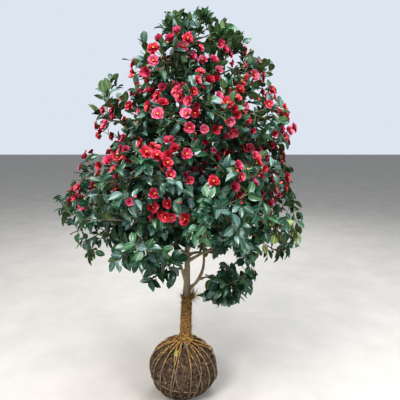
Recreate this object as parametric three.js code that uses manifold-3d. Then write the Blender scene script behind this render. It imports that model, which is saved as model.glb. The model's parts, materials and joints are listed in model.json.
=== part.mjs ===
// A red camellia grown as a small tree, lifted with its root ball. From the ground up: a ball of soil
// bound with straw rope, a rope wrap on the lower trunk, the trunk with its boughs, and the crown, which
// is made of separate masses of twigs, leaves and blooms in tiers round the trunk.
// Millimetres, +Z up. The origin is the middle of the ball's flat underside. The tree is seen from -Y.
import * as THREE from "three";
import { mergeVertices } from "three/addons/utils/BufferGeometryUtils.js";
import Module from "manifold-3d";

const wasm = await Module();
wasm.setup();

// Driving dimensions
const CLEAR = 0.3; // gap between pieces that touch
const FRONT = -90; // azimuth of the side that is seen, in degrees from +X towards +Y

const BALL = {
  radius: 188,
  height: 298,
  waist: 149, // height of its widest ring
  roundness: 2.1, // exponent of its outline: 2 is an ellipse, more is squarer
  footHalf: 162, // half-height of the outline's lower part, cut flat at the ground
  headHalf: 153, // half-height of its upper part, cut flat at the top
  lump: 0.022, // unevenness of the soil, as a share of the radius
  sides: 24,
  rings: 8,
};

const ROPE = {
  radius: 4.6,
  strands: 14,
  stand: 3, // how far a strand stands off the soil
  drift: 0.42, // how far a strand wanders sideways on its way down, in radians
  bow: 0.1, // and how far it bows on the way
  start: 0.2, // where it reaches the ball's top, as an angle from upright, in radians
  reach: 2.7, // and where it ends, low on the ball
  steps: 9,
  seed: 500,
  collarRadius: 48,
  collarHeight: 24,
  collarSides: 14,
  tuck: 8, // how deep a strand's start lies in the collar
  rise: 18, // and how high above the ball
};

const WRAP = {
  foot: 324,
  head: 588,
  turns: 9,
  footRadius: 33,
  headRadius: 28.5,
  groove: 4, // depth between two turns
  sides: 10,
};

const TRUNK = {
  foot: 286, // its flat cut, set in the top of the ball
  tip: 1800,
  flareRadius: 39,
  flareHeight: 22, // height in which the root flare dies away
  neckRadius: 23.5,
  forkHeight: 600,
  forkRadius: 20.5,
  leaderHeight: 680, // where the leader stands clear of the first boughs
  leaderRadius: 15.5,
  tipRadius: 5.5,
  offset: 14,
  sway: 15,
  swayBack: 9,
  sides: 12,
  heights: [286, 296, 310, 334, 470, 600, 640], // of its rings up to the leader
  leaderSteps: 8,
};

const BOUGH = {
  sides: 5,
  steps: 4,
  tipRadius: 4.8,
  startShare: 0.62, // its radius at the fork, as a share of the trunk's
  taper: 0.8, // exponent of its taper
  forkAngle: 18, // how steeply it leaves the trunk, in degrees, and how far that follows its mass's lean
  forkLean: 0.6,
  startPull: 0.38, // how far its curve follows its two ends' headings, as shares of its length
  endPull: 0.34,
  hangRadius: 5.6, // radius where the bough of a hanging mass starts
};

// The crown's tiers, from the lowest up. height and out place a mass's middle above the ground and away
// from the crown's axis; spread and depth are its horizontal and vertical reach; fork is where its bough
// leaves the trunk, climb how much higher the next one leaves, lean the angle at which a mass rises, and
// rise how much its twigs turn up.
const TIERS = [
  { name: "skirt", count: 7, turn: -15, height: 974, out: 396, spread: 296, depth: 238, axis: 0,
    fork: 785, climb: 14, lean: 22, rise: -0.12, blooms: 1 },
  { name: "waist", count: 6, turn: 10, height: 1245, out: 338, spread: 296, depth: 245, axis: 0,
    fork: 900, climb: 26, lean: 42, rise: 0.1, blooms: 2 },
  { name: "shoulder", count: 5, turn: -20, height: 1510, out: 255, spread: 278, depth: 240, axis: 65,
    fork: 1110, climb: 30, lean: 58, rise: 0.1, blooms: 2 },
  { name: "neck", count: 3, turn: 8, height: 1748, out: 150, spread: 268, depth: 205, axis: 62,
    fork: 1420, climb: 36, lean: 70, rise: 0.1, blooms: 2 },
  { name: "crest", count: 1, turn: 0, height: 1930, out: 0, spread: 250, depth: 175, axis: 80,
    fork: 0, climb: 0, lean: 88, rise: 0.1, blooms: 0 },
];
const SEED = 1500; // of the first mass, the next ones count on from it
const LEAF_SEED = 1246; // added for the draws of a mass's leaves
const STAGGER = 26; // masses of a tier sit by turns this much higher and lower
const SKIRT_TILT = 18; // the skirt hangs this much lower on the +X side and higher on the -X side
const SKIRT_LIFT = 150; // and is this much higher at the front, where the trunk shows under it

// Two small masses that hang under the skirt, each on a bough that forks from a lower one.
const HANGING = [
  { name: "low_right", azimuth: -20, height: 712, out: 250, spread: 158, depth: 112, axis: 0,
    parent: "bough_waist_1", parentShare: 0.17, lean: -8, rise: 0, blooms: 0 },
  { name: "low_left", azimuth: 214, height: 748, out: 150, spread: 122, depth: 90, axis: 15,
    parent: "bough_skirt_5", parentShare: 0.3, lean: -8, rise: 0, blooms: 0 },
];

// The two low forks that show under the crown: where each leaves the trunk, and the points that its bend
// passes, each as a distance out from the trunk and a height.
const BENDS = {
  bough_waist_1: { fork: 612, through: [[58, 660], [94, 738], [99, 860], [112, 990]] },
  bough_skirt_5: { fork: 628, through: [[17, 700], [48, 782], [148, 846]] },
};

const MASS = {
  footIn: 0.6, // how far inside its middle a mass's stem starts, as a share of its spread
  footDown: 0.52, // and how far below, as a share of its depth
  leastFootOut: 60, // the least distance from the axis at which a stem starts
  footAxis: 0.6, // how far the feet follow their tier's sideways shift
  headOut: 0.42, // where the stem ends, outwards and upwards from the middle, as shares of its reach
  headUp: 0.3,
  hangingHeadUp: -0.1, // the same upwards for a mass that hangs
  gap: 3, // free space kept at the walls between masses
  limbGap: 9, // free space kept round the limbs
  stemRadius: 5.2,
  stemSteps: 3,
  stemTipRadius: 4.2,
  twigRadius: 3.2,
  twigTipRadius: 2.8,
  twigs: 6,
  firstTwig: 0.14, // where twigs leave the stem, as shares of its length
  lastTwig: 0.98,
  twigForward: [0.25, 1.2], // how far the first and the last twig lean along the stem
  shortestTwig: 34,
  twigShare: 0.5, // least share of the room that a twig takes, the rest is for its end leaf
  endLeafShare: [0.72, 1], // how much of its end leaf's length a twig leaves free
  twigCollar: 7.3, // a twig thickens over this length from the middle of the stem
};
const LEAF = {
  length: 148,
  width: 74,
  fold: 10, // how far its sides stand up from its midrib
  widest: 0.48, // where it is widest, as a share of its length
  sunk: 2, // how far an end leaf's base is sunk in its twig
  perTwig: 5,
  shares: [0.93, 0.3], // where its other leaves stand on a twig, from the last to the first
  opening: [0.9, 1.2], // and the angle at which they leave it, in radians
  upward: 0.8, // how far a leaf faces up, where 0 faces straight out
  sizes: [1, 0.88, 0.74, 0.6], // tried in turn, on each side of the twig, until a leaf has room
};
const PROBE = { limb: 12, twig: 10, room: 8, farthest: 600 }; // spacings at which clearances are measured
const BLOOM = { radius: 38, waistRadius: 33, cup: 13, middle: 7, sunk: 0.45, petals: 4 };
const GOLDEN_TURN = Math.PI * (3 - Math.sqrt(5));
const UP = new THREE.Vector3(0, 0, 1);

// The same numbers each time, from 0 to 1, for one seed.
function seeded(seed) {
  let state = seed >>> 0;
  return () => {
    state = (state + 0x6d2b79f5) >>> 0;
    let t = Math.imul(state ^ (state >>> 15), state | 1);
    t ^= t + Math.imul(t ^ (t >>> 7), t | 61);
    return ((t ^ (t >>> 14)) >>> 0) / 4294967296;
  };
}

const mix = (a, b, t) => a + (b - a) * t;
const radians = THREE.MathUtils.degToRad;
const outward = (azimuth) => new THREE.Vector3(Math.cos(azimuth), Math.sin(azimuth), 0);

// Solids and geometries
function solidOf(geometry) {
  const bare = new THREE.BufferGeometry();
  bare.setAttribute("position", geometry.getAttribute("position"));
  bare.setIndex(geometry.index);
  const merged = mergeVertices(bare, 1e-4);
  const corners = [];
  for (let i = 0; i < merged.index.count; i += 3) {
    const [a, b, c] = merged.index.array.slice(i, i + 3);
    if (a !== b && b !== c && c !== a) corners.push(a, b, c);
  }
  const solid = new wasm.Manifold(
    new wasm.Mesh({
      numProp: 3,
      vertProperties: merged.attributes.position.array,
      triVerts: new Uint32Array(corners),
    }),
  );
  if (solid.volume() < 0) throw new Error("a piece is inside out");
  return solid;
}

function geometryOf(solid) {
  const mesh = solid.getMesh();
  const positions = new Float32Array(mesh.numVert * 3);
  for (let i = 0; i < mesh.numVert; i++) {
    positions.set(mesh.vertProperties.subarray(i * mesh.numProp, i * mesh.numProp + 3), i * 3);
  }
  const geometry = new THREE.BufferGeometry();
  geometry.setAttribute("position", new THREE.BufferAttribute(positions, 3));
  geometry.setIndex(new THREE.BufferAttribute(mesh.triVerts, 1));
  geometry.computeVertexNormals();
  return geometry;
}

// Moves each vertex of a geometry to where place(vertex) says.
function reshape(geometry, place) {
  const position = geometry.getAttribute("position");
  const vertex = new THREE.Vector3();
  for (let i = 0; i < position.count; i++) {
    vertex.fromBufferAttribute(position, i);
    const moved = place(vertex.clone());
    position.setXYZ(i, moved.x, moved.y, moved.z);
  }
  return geometry;
}

// The point at a share of the way along a line of points, and the line's heading there.
function pointOn(points, share) {
  const at = THREE.MathUtils.clamp(share, 0, 1) * (points.length - 1);
  const index = Math.min(Math.floor(at), points.length - 2);
  return points[index].clone().lerp(points[index + 1], at - index);
}

function headingOn(points, share) {
  const half = 0.5 / (points.length - 1);
  return pointOn(points, share + half).sub(pointOn(points, share - half)).normalize();
}

const perpendicular = (heading) => {
  const hint = Math.abs(heading.z) < 0.9 ? UP : new THREE.Vector3(1, 0, 0);
  return hint.clone().cross(heading).normalize();
};

// A limb along a line of points, tapering as radiusAt(share of its length) says, with flat ends.
// first is the heading at its start, where that isn't the line's own.
function limbGeometry(points, radiusAt, sides, first = null) {
  const steps = points.length - 1;
  const rings = [];
  let side = perpendicular(first ?? headingOn(points, 0));
  for (let i = 0; i <= steps; i++) {
    const heading = i === 0 && first ? first : headingOn(points, i / steps);
    side = side.clone().addScaledVector(heading, -side.dot(heading)).normalize();
    rings.push({ centre: points[i], side, across: heading.clone().cross(side), radius: radiusAt(i / steps) });
  }
  const section = new THREE.Shape();
  for (let i = 0; i < sides; i++) {
    const turn = (2 * Math.PI * i) / sides;
    if (i === 0) section.moveTo(1, 0);
    else section.lineTo(Math.cos(turn), Math.sin(turn));
  }
  const straight = new THREE.ExtrudeGeometry(section, { depth: 1, steps, bevelEnabled: false });
  return reshape(straight, (v) => {
    const ring = rings[Math.round(v.z * steps)];
    return ring.centre
      .clone()
      .addScaledVector(ring.side, v.x * ring.radius)
      .addScaledVector(ring.across, v.y * ring.radius);
  });
}

// The root ball
function ballRadius(height, azimuth) {
  const half = height < BALL.waist ? BALL.footHalf : BALL.headHalf;
  const share = Math.abs(height - BALL.waist) / half;
  const outline = (1 - share ** BALL.roundness) ** (1 / BALL.roundness);
  const lumps =
    Math.sin(3 * azimuth + height / 60) +
    0.7 * Math.sin(5 * azimuth - height / 37 + 2) +
    0.5 * Math.cos(2 * azimuth + height / 90);
  return BALL.radius * outline * (1 + BALL.lump * lumps * outline);
}

function ballGeometry(grow = 0) {
  const sphere = new THREE.SphereGeometry(1, BALL.sides, BALL.rings);
  return reshape(sphere, (v) => {
    const polar = Math.acos(THREE.MathUtils.clamp(v.y, -1, 1)) / Math.PI;
    const ring = Math.round(polar * BALL.rings);
    const share = THREE.MathUtils.clamp((ring - 1) / (BALL.rings - 2), 0, 1);
    const height = BALL.waist + (BALL.height - BALL.waist) * Math.cos(share * Math.PI);
    if (ring === 0 || ring === BALL.rings) {
      return new THREE.Vector3(0, 0, height + (ring === 0 ? grow : -grow));
    }
    const azimuth = Math.atan2(-v.z, v.x);
    const flat = outward(azimuth).multiplyScalar(ballRadius(height, azimuth) + grow);
    const lift = ring === 1 ? grow : ring === BALL.rings - 1 ? -grow : 0;
    return flat.setZ(height + lift);
  });
}

// A strand of rope from the collar over the ball's shoulder and down to its foot.
function strandCurve(index) {
  const draw = seeded(ROPE.seed + index);
  const start = (2 * Math.PI * (index + 0.5 * draw())) / ROPE.strands;
  const drift = ROPE.drift * (2 * draw() - 1);
  const bow = ROPE.bow * (2 * draw() - 1);
  const stand = ROPE.radius + ROPE.stand;
  const first = outward(start).multiplyScalar(ROPE.collarRadius - ROPE.tuck);
  const points = [first.setZ(BALL.height + ROPE.rise)];
  for (let i = 0; i <= ROPE.steps; i++) {
    const share = i / ROPE.steps;
    const turn = mix(ROPE.start, ROPE.reach, share);
    const height = BALL.waist + (BALL.height - BALL.waist) * Math.cos(turn);
    const azimuth = start + drift * share + bow * Math.sin(Math.PI * share);
    const radius = ballRadius(height, azimuth) + stand * Math.sin(Math.max(turn, 3 * ROPE.start));
    points.push(outward(azimuth).multiplyScalar(radius).setZ(height + stand * Math.cos(turn)));
  }
  return new THREE.CatmullRomCurve3(points);
}

function strandGeometry(index) {
  const section = new THREE.Shape();
  section.absarc(0, 0, ROPE.radius, 0, 2 * Math.PI);
  return new THREE.ExtrudeGeometry(section, {
    extrudePath: strandCurve(index),
    steps: ROPE.steps,
    curveSegments: 2,
    bevelEnabled: false,
  });
}

// A ring round the trunk's foot, from which the strands leave.
function collarGeometry() {
  const half = ROPE.collarHeight / 2;
  const inner = ROPE.collarRadius - half;
  const outline = [[0, -half], [inner, -half], [ROPE.collarRadius, 0], [inner, half], [0, half]];
  const lathe = new THREE.LatheGeometry(outline.map(([x, y]) => new THREE.Vector2(x, y)), ROPE.collarSides);
  return reshape(lathe, (v) => new THREE.Vector3(v.z, v.x, v.y + BALL.height + CLEAR + half));
}

// The straw rope wound on the lower trunk, turn on turn.
function wrapGeometry() {
  const outline = [new THREE.Vector2(0, WRAP.foot)];
  const pitch = (WRAP.head - WRAP.foot) / WRAP.turns;
  for (let i = 0; i < WRAP.turns; i++) {
    const radius = mix(WRAP.footRadius, WRAP.headRadius, i / (WRAP.turns - 1));
    outline.push(new THREE.Vector2(radius - WRAP.groove, WRAP.foot + i * pitch));
    outline.push(new THREE.Vector2(radius, WRAP.foot + (i + 0.5) * pitch));
  }
  outline.push(new THREE.Vector2(WRAP.headRadius - WRAP.groove, WRAP.head));
  outline.push(new THREE.Vector2(0, WRAP.head));
  const lathe = new THREE.LatheGeometry(outline, WRAP.sides);
  return reshape(lathe, (v) => {
    const centre = trunkCentre(v.y);
    return new THREE.Vector3(centre.x + v.z, centre.y + v.x, v.y);
  });
}

// The trunk
function trunkCentre(height) {
  const share = (height - TRUNK.foot) / (TRUNK.tip - TRUNK.foot);
  return new THREE.Vector3(
    TRUNK.offset + TRUNK.sway * Math.sin(share * Math.PI * 1.1),
    TRUNK.swayBack * Math.sin(share * Math.PI * 2.3),
    height,
  );
}

function trunkRadius(height) {
  const flare = (TRUNK.flareRadius - TRUNK.neckRadius) * Math.exp((TRUNK.foot - height) / TRUNK.flareHeight);
  if (height < TRUNK.forkHeight) {
    const share = (height - TRUNK.foot) / (TRUNK.forkHeight - TRUNK.foot);
    return mix(TRUNK.neckRadius, TRUNK.forkRadius, share) + flare;
  }
  if (height < TRUNK.leaderHeight) {
    const share = (height - TRUNK.forkHeight) / (TRUNK.leaderHeight - TRUNK.forkHeight);
    return mix(TRUNK.forkRadius, TRUNK.leaderRadius, share);
  }
  const share = (height - TRUNK.leaderHeight) / (TRUNK.tip - TRUNK.leaderHeight);
  return mix(TRUNK.leaderRadius, TRUNK.tipRadius, share);
}

function trunkGeometry(grow = 0) {
  const heights = [...TRUNK.heights];
  for (let i = 0; i <= TRUNK.leaderSteps; i++) {
    heights.push(mix(TRUNK.leaderHeight, TRUNK.tip, i / TRUNK.leaderSteps));
  }
  const points = heights.map(trunkCentre);
  points[0].z -= grow;
  points[points.length - 1].z += grow;
  const radiusAt = (share) => trunkRadius(heights[Math.round(share * (heights.length - 1))]) + grow;
  return limbGeometry(points, radiusAt, TRUNK.sides);
}

// The crown's plan: where each mass sits and where its stem starts
function planMass(name, azimuth, size, seed) {
  const away = outward(radians(azimuth));
  const centre = away.clone().multiplyScalar(size.out).add(new THREE.Vector3(size.axis, 0, size.height));
  const lean = radians(size.lean);
  const aim = away.clone().multiplyScalar(Math.cos(lean)).addScaledVector(UP, Math.sin(lean));
  return { ...size, name, away, centre, aim, seed };
}

function planCrown() {
  const masses = [];
  for (const tier of TIERS) {
    for (let i = 0; i < tier.count; i++) {
      const name = tier.count > 1 ? `${tier.name}_${i + 1}` : tier.name;
      const azimuth = tier.turn + (360 * i) / tier.count;
      const mass = planMass(name, azimuth, tier, SEED + masses.length);
      if (tier.count > 1) mass.centre.z += STAGGER * (i % 2 === 0 ? 1 : -1);
      if (tier.name === "skirt") {
        mass.centre.z += SKIRT_LIFT * Math.max(0, Math.cos(radians(azimuth - FRONT)));
        mass.centre.z -= SKIRT_TILT * mass.away.x;
      }
      masses.push(mass);
    }
  }
  for (const small of HANGING) {
    masses.push(planMass(small.name, small.azimuth, small, SEED + masses.length));
  }
  for (const mass of masses) {
    const down = mass.lean < 0 ? 0 : MASS.footDown * mass.depth;
    const out = Math.max(mass.out - MASS.footIn * mass.spread, MASS.leastFootOut);
    mass.foot = mass.away.clone().multiplyScalar(out);
    mass.foot.x += MASS.footAxis * mass.axis;
    mass.foot.z = mass.centre.z - down;
  }
  const crest = masses.find((mass) => mass.name === "crest");
  crest.foot = trunkCentre(TRUNK.tip);
  crest.aim = trunkCentre(TRUNK.tip).sub(trunkCentre(TRUNK.tip - 5)).normalize();
  return masses;
}

// A mass keeps to its own space: the part of its ellipsoid that is nearer to it than to any other mass.
function inSpace(point, mass, masses, margin) {
  const from = point.clone().sub(mass.centre);
  const flat = Math.hypot(from.x, from.y) / mass.spread;
  const tall = from.z / mass.depth;
  if (flat * flat + tall * tall > 1) return false;
  return masses.every((other) => {
    if (other === mass) return true;
    const across = other.centre.clone().sub(mass.centre);
    const distance = across.length();
    const weight = mass.spread * mass.depth - other.spread * other.depth;
    const wall = distance / 2 + weight / (2 * distance);
    return from.dot(across) / distance < wall - margin;
  });
}

// The boughs: lines of points with radii, from the trunk's axis or a bough's to the foot of a mass
function boughPoints(start, heading, mass, bend) {
  const end = mass.foot;
  if (bend) {
    const through = bend.through.map(([out, height]) => {
      return trunkCentre(bend.fork).addScaledVector(mass.away, out).setZ(height);
    });
    return new THREE.CatmullRomCurve3([start, ...through, end]).getSpacedPoints(2 * BOUGH.steps);
  }
  const length = start.distanceTo(end);
  const curve = new THREE.CubicBezierCurve3(
    start,
    start.clone().addScaledVector(heading, length * BOUGH.startPull),
    end.clone().addScaledVector(mass.aim, -length * BOUGH.endPull),
    end,
  );
  return curve.getSpacedPoints(BOUGH.steps);
}

function planBoughs(masses) {
  const boughs = [];
  for (const tier of TIERS.filter((t) => t.fork > 0)) {
    for (let i = 0; i < tier.count; i++) {
      const mass = masses.find((m) => m.name === `${tier.name}_${i + 1}`);
      const name = `bough_${mass.name}`;
      const bend = BENDS[name];
      const fork = bend ? bend.fork : tier.fork + tier.climb * ((i * 2) % tier.count);
      const start = trunkCentre(fork);
      const steep = radians(tier.lean * BOUGH.forkLean + BOUGH.forkAngle);
      const heading = mass.away.clone().multiplyScalar(Math.cos(steep)).addScaledVector(UP, Math.sin(steep));
      const startRadius = BOUGH.startShare * trunkRadius(Math.max(fork, TRUNK.leaderHeight));
      boughs.push({ name, mass, startRadius, parent: null, points: boughPoints(start, heading, mass, bend) });
    }
  }
  for (const small of HANGING) {
    const mass = masses.find((m) => m.name === small.name);
    const parent = boughs.find((bough) => bough.name === small.parent);
    const start = pointOn(parent.points, small.parentShare);
    const points = boughPoints(start, mass.away, mass, null);
    boughs.push({ name: `bough_${mass.name}`, mass, startRadius: BOUGH.hangRadius, parent, points });
  }
  for (const bough of boughs) {
    bough.radiusAt = (share) => mix(bough.startRadius, BOUGH.tipRadius, share ** BOUGH.taper);
    bough.mass.aim = headingOn(bough.points, 1);
  }
  return boughs;
}

function boughGeometry(bough, grow = 0) {
  return limbGeometry(bough.points, (share) => bough.radiusAt(share) + grow, BOUGH.sides);
}

// Spots along every limb, each with the limb's radius there, for keeping twigs and leaves clear of them.
function limbSpots(boughs) {
  const spots = [];
  for (let z = TRUNK.foot; z < TRUNK.tip; z += PROBE.limb) {
    spots.push({ at: trunkCentre(z), radius: trunkRadius(z) });
  }
  for (const bough of boughs) {
    const line = spotsOn(bough.points, PROBE.limb);
    line.forEach((at, i) => spots.push({ at, radius: bough.radiusAt(i / (line.length - 1)) }));
  }
  return spots;
}

function cornersOf(geometry) {
  const position = geometry.getAttribute("position");
  const corners = [];
  for (let i = 0; i < position.count; i++) corners.push(new THREE.Vector3().fromBufferAttribute(position, i));
  return corners;
}

function spotsOn(points, step) {
  const count = Math.ceil(new THREE.CatmullRomCurve3(points).getLength() / step);
  return Array.from({ length: count + 1 }, (_, i) => pointOn(points, i / count));
}

function clearOf(points, spots, margin) {
  return points.every((p) => spots.every(({ at, radius }) => p.distanceTo(at) > radius + margin));
}

// How far a straight twig can grow from a point before it leaves its mass's space.
function roomAlong(from, heading, mass, masses) {
  for (let room = PROBE.room; room < PROBE.farthest; room += PROBE.room) {
    const end = from.clone().addScaledVector(heading, room);
    if (!inSpace(end, mass, masses, MASS.gap)) return room - PROBE.room;
  }
  return PROBE.farthest;
}

// A mass of foliage: a stem, its twigs, and leaves and blooms fused to them
function stemPoints(mass) {
  const foot = mass.foot.clone().addScaledVector(mass.aim, CLEAR);
  const head = mass.centre.clone().addScaledVector(mass.away, MASS.headOut * mass.spread * (mass.out > 0));
  head.z += (mass.lean < 0 ? MASS.hangingHeadUp : MASS.headUp) * mass.depth;
  const bend = foot.clone().addScaledVector(mass.aim, foot.distanceTo(head) * 0.5);
  return new THREE.QuadraticBezierCurve3(foot, bend, head).getSpacedPoints(MASS.stemSteps);
}

// The twigs of a mass: the last from the stem's end and the rest from its sides, each a golden turn on.
function twigsOf(mass, masses, spots, stem) {
  const draw = seeded(mass.seed);
  const twigs = [];
  for (let i = 0; i < MASS.twigs; i++) {
    const share = mix(MASS.firstTwig, MASS.lastTwig, i / (MASS.twigs - 1));
    const jitter = draw();
    const leafShare = mix(...MASS.endLeafShare, draw());
    const from = pointOn(stem, share);
    const heading = headingOn(stem, share);
    const side = perpendicular(heading).applyAxisAngle(heading, i * GOLDEN_TURN + jitter);
    const forward = mix(...MASS.twigForward, share * share);
    heading.multiplyScalar(forward).add(side).addScaledVector(UP, mass.rise).normalize();
    const room = roomAlong(from, heading, mass, masses);
    const length = Math.max(MASS.twigShare * room, room - leafShare * LEAF.length);
    if (length < MASS.shortestTwig) continue;
    const tip = from.clone().addScaledVector(heading, length);
    const points = [from, tip];
    const along = [0.35, 0.5, 0.75, 1].map((t) => pointOn(points, t));
    if (clearOf(along, spots, MASS.limbGap)) twigs.push({ points, heading, index: i, leaves: [] });
  }
  return twigs;
}

// A leaf: a thin wedge, folded up along its midrib, with its base sunk in a twig. These are its corners:
// the base, the tip and the two sides.
function leafCorners(root, along, facing, scale) {
  const side = along.clone().cross(facing).normalize();
  const face = side.clone().cross(along).normalize();
  const at = (forward, sideways, lift) =>
    root
      .clone()
      .addScaledVector(along, forward * LEAF.length * scale)
      .addScaledVector(side, (sideways * LEAF.width * scale) / 2)
      .addScaledVector(face, lift * LEAF.fold);
  return [at(0, 0, 0), at(1, 0, 0), at(LEAF.widest, 1, 1), at(LEAF.widest, -1, 1)];
}

function leafGeometry(corners) {
  return reshape(new THREE.TetrahedronGeometry(1, 0), (v) => {
    if (v.x > 0) return v.y > 0 ? corners[0] : corners[1];
    return v.y > 0 ? corners[2] : corners[3];
  });
}

// Whether any edge of one leaf goes through a face of another.
const PAIRS = [[0, 1], [0, 2], [0, 3], [1, 2], [1, 3], [2, 3]];
const FACES = [[0, 1, 2], [0, 1, 3], [0, 2, 3], [1, 2, 3]];

function pierces(a, b) {
  const hit = new THREE.Vector3();
  return PAIRS.some(([i, j]) => {
    const ray = new THREE.Ray(a[i], a[j].clone().sub(a[i]).normalize());
    const length = a[i].distanceTo(a[j]);
    return FACES.some(([k, l, m]) => {
      return ray.intersectTriangle(b[k], b[l], b[m], false, hit) && hit.distanceTo(a[i]) < length;
    });
  });
}

// Whether a leaf comes close to any of the spots along twigs that aren't its own.
function nearTwig(corners, twigSpots, margin) {
  const closest = new THREE.Vector3();
  return [corners[2], corners[3]].some((side) => {
    const blade = new THREE.Triangle(corners[0], corners[1], side);
    return twigSpots.some((spot) => blade.closestPointToPoint(spot, closest).distanceTo(spot) < margin);
  });
}

// A bloom: an open cup with petal tips round its rim, its back sunk on the twig's end.
function bloomGeometry(root, facing) {
  const side = perpendicular(facing);
  const across = facing.clone().cross(side);
  const rim = 2 * BLOOM.petals;
  return reshape(new THREE.SphereGeometry(1, rim, 2), (v) => {
    if (v.y > 0.5) return root.clone().addScaledVector(facing, BLOOM.middle);
    if (v.y < -0.5) return root.clone().addScaledVector(facing, -BLOOM.sunk);
    const turn = Math.atan2(v.z, -v.x);
    const petal = Math.round((turn / (2 * Math.PI)) * rim + rim) % 2 === 0;
    const radius = petal ? BLOOM.radius : BLOOM.waistRadius;
    return root
      .clone()
      .addScaledVector(side, radius * Math.cos(turn))
      .addScaledVector(across, radius * Math.sin(turn))
      .addScaledVector(facing, petal ? BLOOM.cup : BLOOM.cup * 0.8);
  });
}

// Whether a piece stays in its mass's space and clear of the limbs.
function hasRoom(corners, mass, masses, spots) {
  if (!corners.every((corner) => inSpace(corner, mass, masses, MASS.gap / 2))) return false;
  const samples = [...corners];
  for (let i = 1; i < corners.length; i++) {
    samples.push(corners[0].clone().lerp(corners[i], 0.5), corners[i - 1].clone().lerp(corners[i], 0.5));
  }
  return clearOf(samples, spots, MASS.limbGap);
}

// The first leaf that has room, trying one side of the three-sided twig after another.
function leafAt(root, heading, open, rank, mass, isFree) {
  const away = root.clone().sub(new THREE.Vector3(mass.axis, 0, root.z)).normalize();
  const facing = away.addScaledVector(UP, LEAF.upward);
  for (const size of LEAF.sizes) {
    for (let i = 0; i < 3; i++) {
      const turn = ((2 * (rank + i) + 1) * Math.PI) / 3;
      const side = perpendicular(heading).applyAxisAngle(heading, turn);
      const along = heading.clone().multiplyScalar(Math.cos(open)).addScaledVector(side, Math.sin(open));
      const corners = leafCorners(root, along, facing, size);
      if (isFree(corners)) return corners;
    }
  }
  return null;
}

// A twig thickens out of the middle of its stem, then tapers to its tip.
function twigGeometry([foot, tip], heading) {
  const collar = foot.clone().addScaledVector(heading, MASS.twigCollar);
  const radii = [0, MASS.twigRadius, MASS.twigTipRadius];
  return limbGeometry([foot, collar, tip], (share) => radii[2 * share], 3);
}

// The leaves of one twig, from the one at its end back towards the stem.
function leavesOf(twig, hasBloom, draw, mass, isFree) {
  const { points, heading } = twig;
  const length = points[0].distanceTo(points[1]);
  const rank = Math.floor(3 * draw());
  for (let i = hasBloom ? 1 : 0; i < LEAF.perTwig; i++) {
    const atEnd = i === 0;
    const share = atEnd ? 1 - LEAF.sunk / length : mix(...LEAF.shares, (i - 1) / (LEAF.perTwig - 2));
    const open = atEnd ? 0 : mix(...LEAF.opening, draw());
    const leaf = leafAt(pointOn(points, share), heading, open, rank + i, mass, isFree);
    if (leaf) twig.leaves.push(leaf);
  }
}

function growMass(mass, masses, allSpots) {
  const spots = allSpots.filter(({ at }) => at.distanceTo(mass.centre) < mass.spread + LEAF.length);
  const draw = seeded(LEAF_SEED + mass.seed);
  const stem = stemPoints(mass);
  const twigs = twigsOf(mass, masses, spots, stem);
  const stemTaper = (share) => mix(MASS.stemRadius, MASS.stemTipRadius, share);
  const pieces = [solidOf(limbGeometry(stem, stemTaper, 3, mass.aim))];
  for (const twig of twigs) {
    pieces.push(solidOf(twigGeometry(twig.points, twig.heading)));
    const lines = [stem, ...twigs.filter((other) => other !== twig).map((other) => other.points)];
    const nearby = lines.flatMap((line) => spotsOn(line, PROBE.twig));
    const bloom = bloomGeometry(twig.points[1], twig.heading);
    const inFlower = twig.index >= MASS.twigs - 1 - mass.blooms && twig.index < MASS.twigs - 1;
    const hasBloom = inFlower && hasRoom(cornersOf(bloom), mass, masses, spots);
    if (hasBloom) pieces.push(solidOf(bloom));
    leavesOf(twig, hasBloom, draw, mass, (corners) => {
      if (!hasRoom(corners, mass, masses, spots)) return false;
      if (nearTwig(corners, nearby, MASS.stemRadius)) return false;
      return twigs.every((t) => t.leaves.every((leaf) => !pierces(corners, leaf) && !pierces(leaf, corners)));
    });
  }
  const leaves = twigs.flatMap((twig) => twig.leaves);
  pieces.push(...leaves.map((corners) => solidOf(leafGeometry(corners))));
  return wasm.Manifold.union(pieces);
}

// Materials and the finished tree
const FINISHES = {
  soil: { color: 0x4b382b, roughness: 0.95 },
  straw: { color: 0x9c7434, roughness: 0.85 },
  bark: { color: 0x6f6152, roughness: 0.85 },
  foliage: { color: 0x1f4a33, roughness: 0.4 },
};

const tree = new THREE.Group();
tree.name = "camellia_tree";

function addPiece(name, solid, finish) {
  const material = new THREE.MeshStandardMaterial({ ...FINISHES[finish], metalness: 0, flatShading: true });
  const mesh = new THREE.Mesh(geometryOf(solid), material);
  mesh.name = name;
  tree.add(mesh);
}

const masses = planCrown();
const boughs = planBoughs(masses);
const spots = limbSpots(boughs);
const trunkRoom = solidOf(trunkGeometry(CLEAR));
const ball = solidOf(ballGeometry()).subtract(trunkRoom);
addPiece("root_ball", ball, "soil");

const strands = Array.from({ length: ROPE.strands }, (_, i) => solidOf(strandGeometry(i)));
const net = wasm.Manifold.union([solidOf(collarGeometry()), ...strands]);
addPiece("ball_ropes", net.subtract(trunkRoom).subtract(solidOf(ballGeometry(CLEAR))), "straw");
addPiece("trunk_wrap", solidOf(wrapGeometry()).subtract(trunkRoom), "straw");
addPiece("trunk", solidOf(trunkGeometry()), "bark");

for (const bough of boughs) {
  const whole = solidOf(boughGeometry(bough));
  const parentRoom = bough.parent ? solidOf(boughGeometry(bough.parent, CLEAR)) : trunkRoom;
  addPiece(bough.name, whole.subtract(parentRoom), "bark");
}
for (const mass of masses) {
  addPiece(`foliage_${mass.name}`, growMass(mass, masses, spots), "foliage");
}

export default tree;
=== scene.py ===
# A red camellia grown as a small tree, on its root ball bound with straw rope. The limbs follow the
# solids of the frame, and the foliage grows on from them by the same rule, carried to finer twigs.
# Metres, +Z up. The tree is seen from -Y.
import json
import math

import bmesh
import bpy
import numpy as np
from mathutils import Matrix, Vector, noise

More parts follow.
